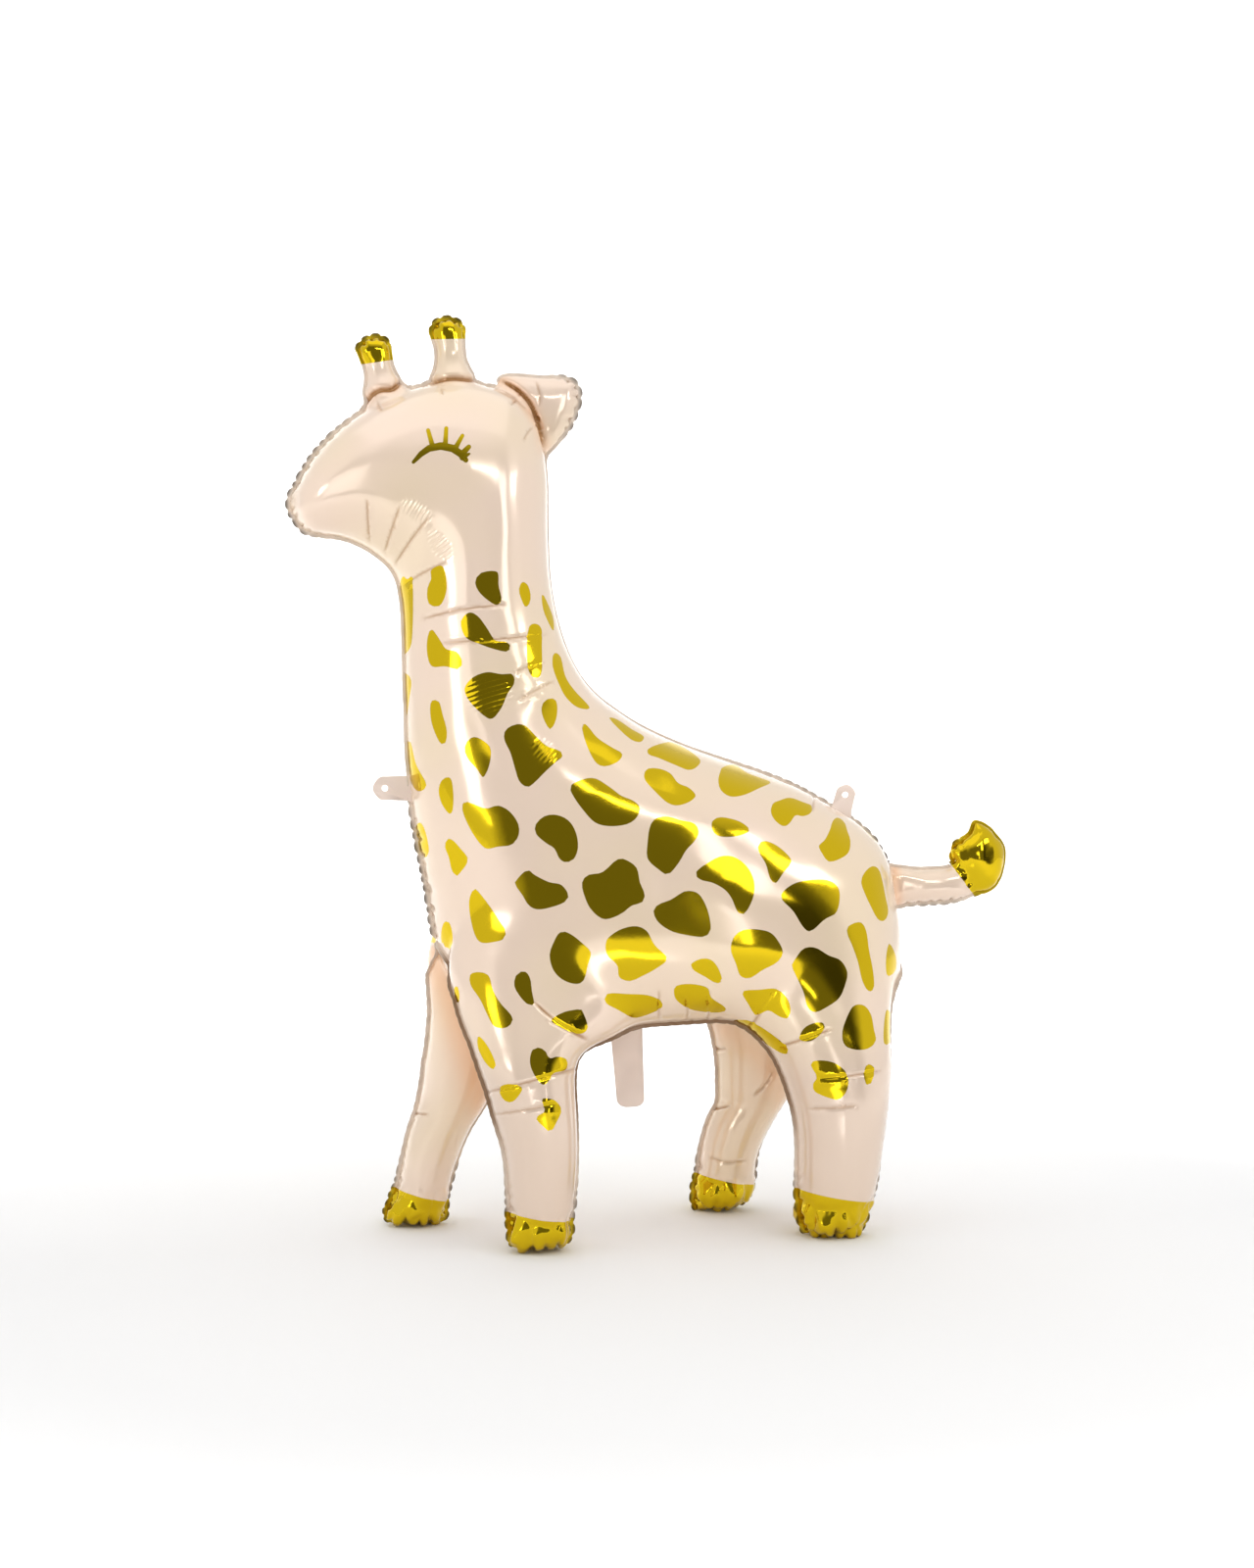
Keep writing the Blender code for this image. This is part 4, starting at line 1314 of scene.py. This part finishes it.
class GIRAFFE_OT_skin(bpy.types.Operator):
    """Make the inflated film skin with its print, pleats and creases"""

    bl_idname = "giraffe.skin"
    bl_label = "Film skin"

    def execute(self, context):
        size = context.scene.giraffe_skin
        seams = SeamMap(all_seams())
        shapes = [loft("trunk", trunk_rings())]
        shapes += [loft(f"{name}_leg", leg_rings(name)) for name in LEGS]
        shapes += [loft(name, horn_rings(name)) for name in HORNS]
        shapes += [loft(name, lobe_rings(name)) for name in LOBES]
        skin = join("film_skin", shapes)
        apply_modifier(skin, "REMESH", mode="VOXEL", voxel_size=size.cell)
        relax(skin, size.rounding)
        soften_joints(skin, JOINT_ROUNDS)

        def needs_detail(centres):
            index, away = seams.nearest(centres)
            pleated = (away < PLEATED) & (seams.strength[index] > LIVELY)
            pixels = photo_pixels(near_side(centres))
            creased = np.abs(all_creases(centres)) > CREASED
            hoof = own_place(centres)[2] < HOOF_HEIGHT
            eye = beside_eye(centres, pixels, (34, 24))
            return pleated | eye | creased | hoof | (ripple_depth(pixels)[1] > RIPPLED)

        def needs_fine_detail(centres):
            pixels = photo_pixels(near_side(centres))
            eye = beside_eye(centres, pixels, (32, 22))
            return eye | (ripple_depth(pixels)[1] > RIPPLED) | (all_creases(centres) > DEEPLY_CREASED)

        subdivide_where(skin, needs_detail)
        subdivide_where(skin, needs_fine_detail)
        relax(skin, 2)

        points, normals = vertices_of(skin), read_mesh(skin.data.vertices, "normal")
        groove, away, pucker = seams.pleat(points)
        crease = all_creases(points)
        ripple, _ = ripple_depth(photo_pixels(near_side(points)))
        zone = hoof_zone(points)
        hoof, notch = hoof_pleats(points)
        puff = PUFF_HEIGHT * pucker * np.clip(1 - away / PUFF_REACH, 0, 1) * (1 - np.clip(groove, 0, 1))
        slow = sum(share * wave(points, width, seed) for width, seed, share in SLOW_WAVES)
        crumple = np.zeros(len(points))
        gilt = np.flatnonzero(zone > 0)
        crumple[gilt] = -0.3 + sum(
            share * crumpled_cells(points[gilt], *cell) for *cell, share in CRUMPLED_CELLS
        )
        moved = (
            size.pucker * (puff - groove - HOOF_PLEAT * hoof - HOOF_NOTCH * notch)
            + (ripple * outer_panel(points) - crease) * MM
            + size.sag * slow
            + size.crumple * zone * crumple
        )
        printed = gold_distance(points)
        points = points + normals * moved[:, None]
        points[:, 2] += size.notch * notch
        points[:, 2] = np.maximum(points[:, 2], LOWEST)
        place_vertices(skin, points)
        hollow = hollow_share(skin)
        write_attribute(skin, "gold_print", printed)
        # Painted shade deep in creases, pleat grooves and the hollows that the rays find, mixed into the
        # film's colour.
        crease_shade = np.clip(crease / 2.3, 0, DARKEST) + np.clip(groove - 0.35, 0, 1) * 0.2
        crease_shade += np.clip(hollow - 0.3, 0, 1)
        write_attribute(skin, "crease_shade", np.clip(crease_shade, 0, DARKEST))
        # Painted warm bounce light and shade beside deep creases and between the legs.
        write_attribute(skin, "glow", painted_bounce_share(points))
        # Painted shade on the near legs, darker towards the hooves.
        _, across, height = own_place(points)
        low = np.clip((LEG_SHADE_TOP - height) / LEG_SHADE_FADE, 0, 1)
        write_attribute(skin, "leg_shade", (across < 0) * low)
        foil = printed_foil("cream and gold foil", size.cream, size.blush, size.painted_shade_tone, size.glow, size.gold)
        finish_piece(skin, foil, "cream_foil", "foil_envelope")
        return {"FINISHED"}


# How far the skin may be from a seam's own line to carry its weld: the outline's, and the others'.
OUTLINE_NEAR = 0.0085
SEAM_NEAR = 0.02
SHORTEST_WELD = 8
LOWEST_WELD = 0.0003
# Steps over which a weld's line is evened out, and the length over which its ends grow.
EVENED = 5
WELD_END = 0.006
# The weld's cross-section, from inside the skin to its rim: share of the width, share of the sideways
# buckle, shade.
WELD_SECTION = ((-0.4, 0.0, 0.0), (0.15, 0.15, 0.15), (0.7, 0.6, 0.8), (1.0, 1.0, 1.0))


def ribbon(seam, tree, size):
    """The welded flange along a seam, as thin closed strips that stand out of the skin."""
    found = [tree.find_nearest(Vector(point)) for point in seam.points]
    near = np.array([hit[3] for hit in found]) < (OUTLINE_NEAR if seam.planar else SEAM_NEAR)
    place = np.array([hit[0] for hit in found])
    facing = np.array([hit[1] for hit in found])
    if seam.planar:
        facing[:, 1] = 0
        near &= np.linalg.norm(facing, axis=1) > 0.5
    strips = []
    start = None
    for k in range(len(near) + 1):
        inside = k < len(near) and near[k]
        if inside and start is None:
            start = k
        if not inside and start is not None:
            if k - start > SHORTEST_WELD:
                strips.append((start, k))
            start = None
    made = []
    kernel = np.hanning(2 * EVENED + 1)
    kernel /= kernel.sum()
    for number, (first, last) in enumerate(strips):
        line = place[first:last].copy()
        out = facing[first:last].copy()
        if seam.planar:
            line[:, 1] = STAND[1]
        for k in range(3):
            for values in (line, out):
                values[:, k] = np.convolve(np.pad(values[:, k], EVENED, mode="edge"), kernel, "valid")
        along = np.gradient(line, axis=0)
        along /= np.linalg.norm(along, axis=1)[:, None]
        out -= (out * along).sum(axis=1)[:, None] * along
        out /= np.linalg.norm(out, axis=1)[:, None]
        across = np.cross(along, out)
        at = seam.at[first:last]
        pucker = seam.pucker[first:last]
        pleats = np.array([pleat[0] for pleat in seam.pleats])
        phase = np.interp(at, pleats, np.arange(len(pleats)) * math.pi)
        buckle = size.wave * pucker * np.sin(phase + 0.6)
        ends = np.clip(np.minimum(at - at[0], at[-1] - at) / WELD_END, 0, 1)
        dip = 0.4 * pucker * np.exp(-((np.sin(phase) / 0.5) ** 2))
        reach = size.width * ends * (0.5 + 0.4 * np.clip(pucker * 1.3, 0, 1)) * (1 - dip)
        shade = np.clip(pucker - 0.3, 0, 0.7) / 0.7 * (1 - np.exp(-((np.sin(phase) / 0.6) ** 2))) + 0.12
        columns = []
        for share, sway, _ in WELD_SECTION:
            step = np.where(share < 0, share * size.width, share * reach)
            columns.append(line + out * step[:, None] + across * (buckle * sway)[:, None])
        shade = np.outer(shade, [darkness for _, _, darkness in WELD_SECTION])
        grid = np.stack(columns, axis=1)
        made.append(thin_sheet(f"{seam.name}_{number}", grid, size.thickness, weld_shade=shade))
    return made


class GIRAFFE_OT_seams(bpy.types.Operator):
    """Make the welded flange that stands out along every seam"""

    bl_idname = "giraffe.seams"
    bl_label = "Welded seams"

    def execute(self, context):
        size = context.scene.giraffe_seams
        tree = surface_tree(bpy.data.objects["film_skin"])
        flange = join("welded_seams", [strip for seam in all_seams() for strip in ribbon(seam, tree, size)])
        points = vertices_of(flange)
        points[:, 2] = np.maximum(points[:, 2], LOWEST_WELD)
        place_vertices(flange, points)
        write_attribute(flange, "gold_print", gold_distance(points, (), ()))
        x, across, height = own_place(points)
        # Painted warm shade on the legs' welds between the legs: in full on the near side ahead of REAR_WELD,
        # a quarter elsewhere.
        contact_shade = np.clip((np.abs(across) - 8) / 15, 0, 1) * np.where((across < 0) & (x < REAR_WELD), 1.0, 0.25)
        contact_shade *= np.clip((height - AMBER_LOW) / 50, 0, 1) * np.clip((AMBER_HIGH - height) / 16, 0, 1)
        write_attribute(flange, "weld_contact_shade", contact_shade)
        skin = context.scene.giraffe_skin
        weld = seam_film("welded seam film", size.colour, size.shadow, skin.gold, scaled(skin.painted_shade_tone, 0.5))
        finish_piece(flange, weld, "cream_foil")
        return {"FINISHED"}


class GIRAFFE_OT_tabs(bpy.types.Operator):
    """Make the two hanging tabs, each with its hole"""

    bl_idname = "giraffe.tabs"
    bl_label = "Hanging tabs"

    def execute(self, context):
        size = context.scene.giraffe_trim
        made = []
        for name, tab in (("chest_tab", CHEST_TAB), ("back_tab", BACK_TAB)):
            turn = math.radians(tab["angle"])
            along = np.array((math.cos(turn), math.sin(turn)))
            across = np.array((-along[1], along[0]))
            radius = tab["width"] / 2
            foot = np.array(tab["root"], float)
            neck, wide = along * TAB_NECK, across * (radius + TAB_FLARE)
            outline = [foot - wide, foot + wide, foot + neck + across * (radius + 0.6)]
            for k in range(TAB_POINTS + 1):
                swing = math.pi * k / TAB_POINTS
                wobble = 1 + 0.03 * math.sin(5 * swing)
                outline.append(
                    foot
                    + along * (tab["length"] - radius + radius * wobble * math.sin(swing))
                    + across * radius * wobble * math.cos(swing)
                )
            outline.append(foot + neck - across * (radius + 0.6))
            middle = foot + along * (tab["length"] - radius)
            turns = [2 * k * math.pi / TAB_POINTS for k in range(TAB_POINTS)]
            hole = [middle + size.hole / MM * np.array((math.cos(turn), math.sin(turn))) for turn in turns]
            sheet = bpy.data.curves.new(name, "CURVE")
            sheet.dimensions = "2D"
            sheet.fill_mode = "BOTH"
            sheet.extrude = size.tab_thickness / 2
            for loop in (outline, hole):
                spline = sheet.splines.new("POLY")
                spline.points.add(len(loop) - 1)
                for point, (x, z) in zip(spline.points, loop):
                    point.co = (x * MM, z * MM, 0, 1)
                spline.use_cyclic_u = True
            piece = bpy.data.objects.new(name, sheet)
            context.scene.collection.objects.link(piece)
            choose(piece)
            bpy.ops.object.convert(target="MESH")
            piece = context.object
            points = vertices_of(piece)
            bow = 0.0012 * np.sin(points[:, 0] * 190) + 0.0008 * np.sin(points[:, 1] * 260)
            place_vertices(piece, np.stack((points[:, 0], -points[:, 2] + bow, points[:, 1]), axis=1) + STAND)
            turn_outward(merge=0.00002)
            made.append(piece)
        tabs = join("hanging_tabs", made)
        finish_piece(tabs, plain_film("hanging tab film", size.pink, 0.92, 0.32), "cream_foil")
        tabs.data.set_sharp_from_angle(angle=math.radians(40))
        return {"FINISHED"}


class GIRAFFE_OT_strip(bpy.types.Operator):
    """Make the flat filling strip that hangs from the belly"""

    bl_idname = "giraffe.strip"
    bl_label = "Filling strip"

    def execute(self, context):
        size = context.scene.giraffe_trim
        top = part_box("filling_strip")[1].z / MM + STRIP_TUCK
        rows, columns = 60, 17
        grid = np.zeros((rows, columns, 3))
        for i in range(rows):
            down = i / (rows - 1)
            left = STRIP_TOP[0] + (STRIP_BOTTOM[0] - STRIP_TOP[0]) * down
            right = STRIP_TOP[1] + (STRIP_BOTTOM[1] - STRIP_TOP[1]) * down
            z = top + (STRIP_LOW - top) * down
            over = max(0.0, STRIP_CORNER - (z - STRIP_LOW)) / STRIP_CORNER
            tuck = STRIP_CORNER * (1 - math.sqrt(max(0.0, 1 - over * over)))
            for j in range(columns):
                share = j / (columns - 1)
                x = left + tuck + (right - left - 2 * tuck) * share
                puff = 0.5 * math.sin(math.pi * share) * math.sin(math.pi * min(1.0, down * 1.05))
                bend = 1.6 * math.sin(down * 5.2 + 0.4) * down + 0.5 * math.sin(share * 7 + down * 9) * down
                grid[i, j] = (x, bend + puff - 0.2, z)
        strip = thin_sheet("filling_strip_film", placed(grid), size.strip_thickness)
        film = plain_film("filling strip film", size.pink, 0.9, 0.3)
        finish_piece(strip, film, "pink_film", "filling_strip")
        return {"FINISHED"}


# Softboxes: place on the balloon that they serve, to the camera's right; azimuth from the camera's side in
# degrees, growing to the right; distance, height, height aimed at, width and tallness in metres;
# brightness; and the spread in degrees, which a grid in front narrows.
SOFTBOXES = {
    "left_strip": (-0.16, -33.0, 2.3, 0.74, 0.68, 0.5, 1.0, 7.0, 24.0),
    "right_strip": (-0.13, 50.0, 2.2, 1.2, 1.2, 0.32, 0.8, 3.4, 180.0),
    "long_tube": (-0.02, 32.0, 2.4, 1.7, 0.5, 1.0, 0.09, 12.0, 180.0),
    "hip_softbox": (0.18, 63.0, 2.4, 1.55, 0.4, 0.5, 0.34, 6.0, 180.0),
    "muzzle_softbox": (-0.3, -8.0, 0.5, 0.77, 0.79, 0.24, 0.36, 1.5, 120.0),
    "low_tube": (-0.01, 13.0, 0.62, 0.05, 0.3, 0.45, 0.045, 6.0, 50.0),
    "leg_strip": (-0.08, 41.0, 1.5, 0.19, 0.19, 0.05, 0.32, 4.0, 180.0),
    "tail_softbox": (0.37, 17.0, 1.2, 0.42, 0.39, 0.36, 0.5, 4.0, 18.0),
    "top_softbox": (0.0, 20.0, 0.3, 2.6, 0.3, 2.4, 2.4, 0.45, 180.0),
}
BACKDROP_LIGHT = 10.6
FRONT_FILL = 1.8
# The sweep of paper: from SWEEP_FRONT to SWEEP_BACK in y, then up in a curve. Past RIM it also glows a
# little, so that its edge melts into the white surroundings.
SWEEP_FRONT = -1.35
SWEEP_BACK = 7.0
SWEEP_HEIGHT = 8
SWEEP_CURVE = 3.0
RIM = (0.75, 1.35)
RIM_GLOW = (0.25, 0.25, 0.25)


def softbox(name, place, aim, width, tall, bright, spread=180.0):
    """A rectangular softbox; a narrow spread is a grid in front, and only shows from near its axis."""
    deselect()
    bpy.ops.object.light_add(type="AREA", location=place)
    lamp = bpy.context.object
    lamp.name = name
    lamp.data.shape = "RECTANGLE"
    lamp.data.size = width
    lamp.data.size_y = tall
    half = math.radians(spread) / 2
    grid = (math.tan(half) - half) / math.tan(half) if spread < 180 else 1.0
    lamp.data.spread = math.radians(spread)
    lamp.visible_camera = False
    lamp.data.energy = bright * math.pi * width * tall * grid
    lamp.rotation_euler = (Vector(aim) - Vector(place)).to_track_quat("-Z", "Y").to_euler()


def around(aside, azimuth, distance, height):
    """A place seen from the balloon at the azimuth, which is 0 towards the camera and grows to its right."""
    turn = math.radians(azimuth)
    right = aside + distance * math.sin(turn)
    nearer = 0.1 + distance * math.cos(turn)
    spot = CAMERA_TARGET + RIGHT * right - FORWARD * nearer
    return float(spot[0]), float(spot[1]), height


def smooth_step(tree, source, start, end):
    """0 before start and 1 past end; with start past end, 1 before end and 0 past start."""
    rising = float(start < end)
    return map_range(tree, source, min(start, end), max(start, end), 1 - rising, rising, "SMOOTHSTEP")


def multiply(tree, *sources):
    """The product of several values."""
    total = sources[0]
    for source in sources[1:]:
        node = add_node(tree, "ShaderNodeMath", operation="MULTIPLY")
        link(tree, total, node.inputs[0])
        link(tree, source, node.inputs[1])
        total = node.outputs[0]
    return total


def studio_world(surroundings, dim_front):
    """White surroundings, with the darker room behind the photographer and one darker upright in it."""
    world = bpy.data.worlds.new("studio")
    world.use_nodes = True
    tree = world.node_tree
    backing = tree.nodes["Background"]
    backing.inputs["Color"].default_value = (1.0, 1.0, 1.0, 1.0)
    direction = add_node(tree, "ShaderNodeTexCoord").outputs["Generated"]
    shares = []
    for axis in (RIGHT, -FORWARD, (0.0, 0.0, 1.0)):
        toward = add_node(tree, "ShaderNodeVectorMath", operation="DOT_PRODUCT")
        toward.inputs[1].default_value = tuple(axis)
        link(tree, direction, toward.inputs[0])
        shares.append(toward.outputs["Value"])
    turn = add_node(tree, "ShaderNodeMath", operation="ARCTAN2")
    link(tree, shares[0], turn.inputs[0])
    link(tree, shares[1], turn.inputs[1])
    azimuth, rise = turn.outputs[0], shares[2]
    room = multiply(
        tree,
        smooth_step(tree, azimuth, math.radians(-32), math.radians(-18)),
        smooth_step(tree, azimuth, math.radians(66), math.radians(55)),
        smooth_step(tree, rise, math.sin(math.radians(42)), math.sin(math.radians(22))),
    )
    upright = multiply(
        tree,
        smooth_step(tree, azimuth, math.radians(40), math.radians(45)),
        smooth_step(tree, azimuth, math.radians(58), math.radians(52)),
        smooth_step(tree, rise, math.sin(math.radians(22)), math.sin(math.radians(16))),
    )
    strength = multiply(
        tree,
        blend_value(tree, room, surroundings, surroundings * dim_front),
        blend_value(tree, upright, 1.0, 0.25),
    )
    seen = add_node(tree, "ShaderNodeLightPath").outputs["Is Camera Ray"]
    lit = add_node(tree, "ShaderNodeMix", data_type="FLOAT")
    link(tree, seen, lit.inputs[0])
    link(tree, strength, lit.inputs[2])
    lit.inputs[3].default_value = 1.0
    link(tree, lit.outputs[0], backing.inputs["Strength"])
    return world


def pick_back_edges(sweep):
    """Selects, in edit mode, the sweep's edge that lies on the floor at its back."""
    bpy.ops.object.mode_set(mode="EDIT")
    bpy.ops.mesh.select_mode(type="EDGE")
    bpy.ops.mesh.select_all(action="DESELECT")
    bpy.ops.object.mode_set(mode="OBJECT")
    for edge in sweep.data.edges:
        ends = [sweep.data.vertices[v].co for v in edge.vertices]
        edge.select = all(end.y > SWEEP_BACK - 0.1 and abs(end.z) < 0.01 for end in ends)
    bpy.ops.object.mode_set(mode="EDIT")


class GIRAFFE_OT_stage(bpy.types.Operator):
    """Make the pale floor and backdrop, the soft lights and the camera"""

    bl_idname = "giraffe.stage"
    bl_label = "Studio"

    def execute(self, context):
        size = context.scene.giraffe_stage
        deselect()
        bpy.ops.mesh.primitive_plane_add(size=2 * SWEEP_BACK, location=(0, 0, 0))
        sweep = context.object
        sweep.name = "pale_sweep"
        for vertex in sweep.data.vertices:
            vertex.co.y = max(vertex.co.y, SWEEP_FRONT)
        pick_back_edges(sweep)
        bpy.ops.mesh.extrude_region_move(TRANSFORM_OT_translate={"value": (0, 0, SWEEP_HEIGHT)})
        pick_back_edges(sweep)
        bpy.ops.mesh.bevel(offset=SWEEP_CURVE, segments=24, affect="EDGES")
        bpy.ops.object.mode_set(mode="OBJECT")
        sweep.data.shade_smooth()
        paper, tree, shader, film = new_material("pale sweep", 2.0)
        tone = blend_colour(tree, film.outputs["Cloud"], size.floor, scaled(size.floor, 0.985))
        link(tree, tone, shader.inputs["Base Color"])
        shader.inputs["Roughness"].default_value = 0.85
        away = add_node(tree, "ShaderNodeVectorMath", operation="LENGTH")
        link(tree, add_node(tree, "ShaderNodeTexCoord").outputs["Object"], away.inputs[0])
        rim = smooth_step(tree, away.outputs["Value"], *RIM)
        link(tree, blend_colour(tree, rim, (0.0, 0.0, 0.0), RIM_GLOW), shader.inputs["Emission Color"])
        shader.inputs["Emission Strength"].default_value = 1.0
        sweep.data.materials.append(paper)

        for name, (aside, azimuth, distance, height, aim, width, tall, bright, spread) in SOFTBOXES.items():
            target = (*around(aside, azimuth, 0.0, 0.0)[:2], aim)
            place = around(aside, azimuth, distance, height)
            softbox(name, place, target, width, tall, size.lamps * bright, spread)
        softbox("backdrop_light", (0, 1.5, 4.2), (0, SWEEP_BACK, 2.2), 6.0, 1.5, BACKDROP_LIGHT)
        softbox("front_fill", around(0.0, 8.0, 2.6, 0.9), around(0.0, 0.0, 0.0, 0.45), 1.4, 1.4, FRONT_FILL)
        context.object.visible_glossy = False
        context.scene.world = studio_world(size.surroundings, size.dim_front)
        context.scene.view_settings.view_transform = "Standard"

        lens = bpy.data.cameras.new("photo_camera")
        camera = bpy.data.objects.new("photo_camera", lens)
        context.scene.collection.objects.link(camera)
        camera.location = CAMERA_TARGET - FORWARD * CAMERA_DISTANCE
        camera.rotation_euler = (math.pi / 2, 0.0, CAMERA_AZIMUTH)
        lens.sensor_width = SENSOR
        lens.lens = SENSOR * CAMERA_DISTANCE / (PIXEL * PHOTO_HEIGHT)
        lens.clip_end = 60.0
        context.scene.camera = camera
        return {"FINISHED"}


class GIRAFFE_PT_panel(bpy.types.Panel):
    """Sidebar panel with every step and its sizes"""

    bl_label = "Giraffe Balloon"
    bl_idname = "GIRAFFE_PT_panel"
    bl_space_type = "VIEW_3D"
    bl_region_type = "UI"
    bl_category = "Giraffe Balloon"

    def draw(self, context):
        scene = context.scene
        for step, settings in (
            (GIRAFFE_OT_skin, scene.giraffe_skin),
            (GIRAFFE_OT_seams, scene.giraffe_seams),
            (GIRAFFE_OT_tabs, scene.giraffe_trim),
            (GIRAFFE_OT_strip, None),
            (GIRAFFE_OT_stage, scene.giraffe_stage),
        ):
            box = self.layout.box()
            box.operator(step.bl_idname)
            for key in settings.__annotations__ if settings else ():
                box.prop(settings, key)


CLASSES = (
    SkinSettings,
    SeamSettings,
    TrimSettings,
    StageSettings,
    GIRAFFE_OT_skin,
    GIRAFFE_OT_seams,
    GIRAFFE_OT_tabs,
    GIRAFFE_OT_strip,
    GIRAFFE_OT_stage,
    GIRAFFE_PT_panel,
)
SETTINGS = {
    "giraffe_skin": SkinSettings,
    "giraffe_seams": SeamSettings,
    "giraffe_trim": TrimSettings,
    "giraffe_stage": StageSettings,
}


def register():
    for kind in CLASSES:
        bpy.utils.register_class(kind)
    for name, kind in SETTINGS.items():
        setattr(bpy.types.Scene, name, bpy.props.PointerProperty(type=kind))


def unregister():
    for name in SETTINGS:
        delattr(bpy.types.Scene, name)
    for kind in reversed(CLASSES):
        bpy.utils.unregister_class(kind)


def main():
    register()
    bpy.ops.giraffe.stage()
    bpy.ops.giraffe.skin()
    bpy.ops.giraffe.seams()
    bpy.ops.giraffe.tabs()
    bpy.ops.giraffe.strip()


if __name__ == "__main__":
    main()
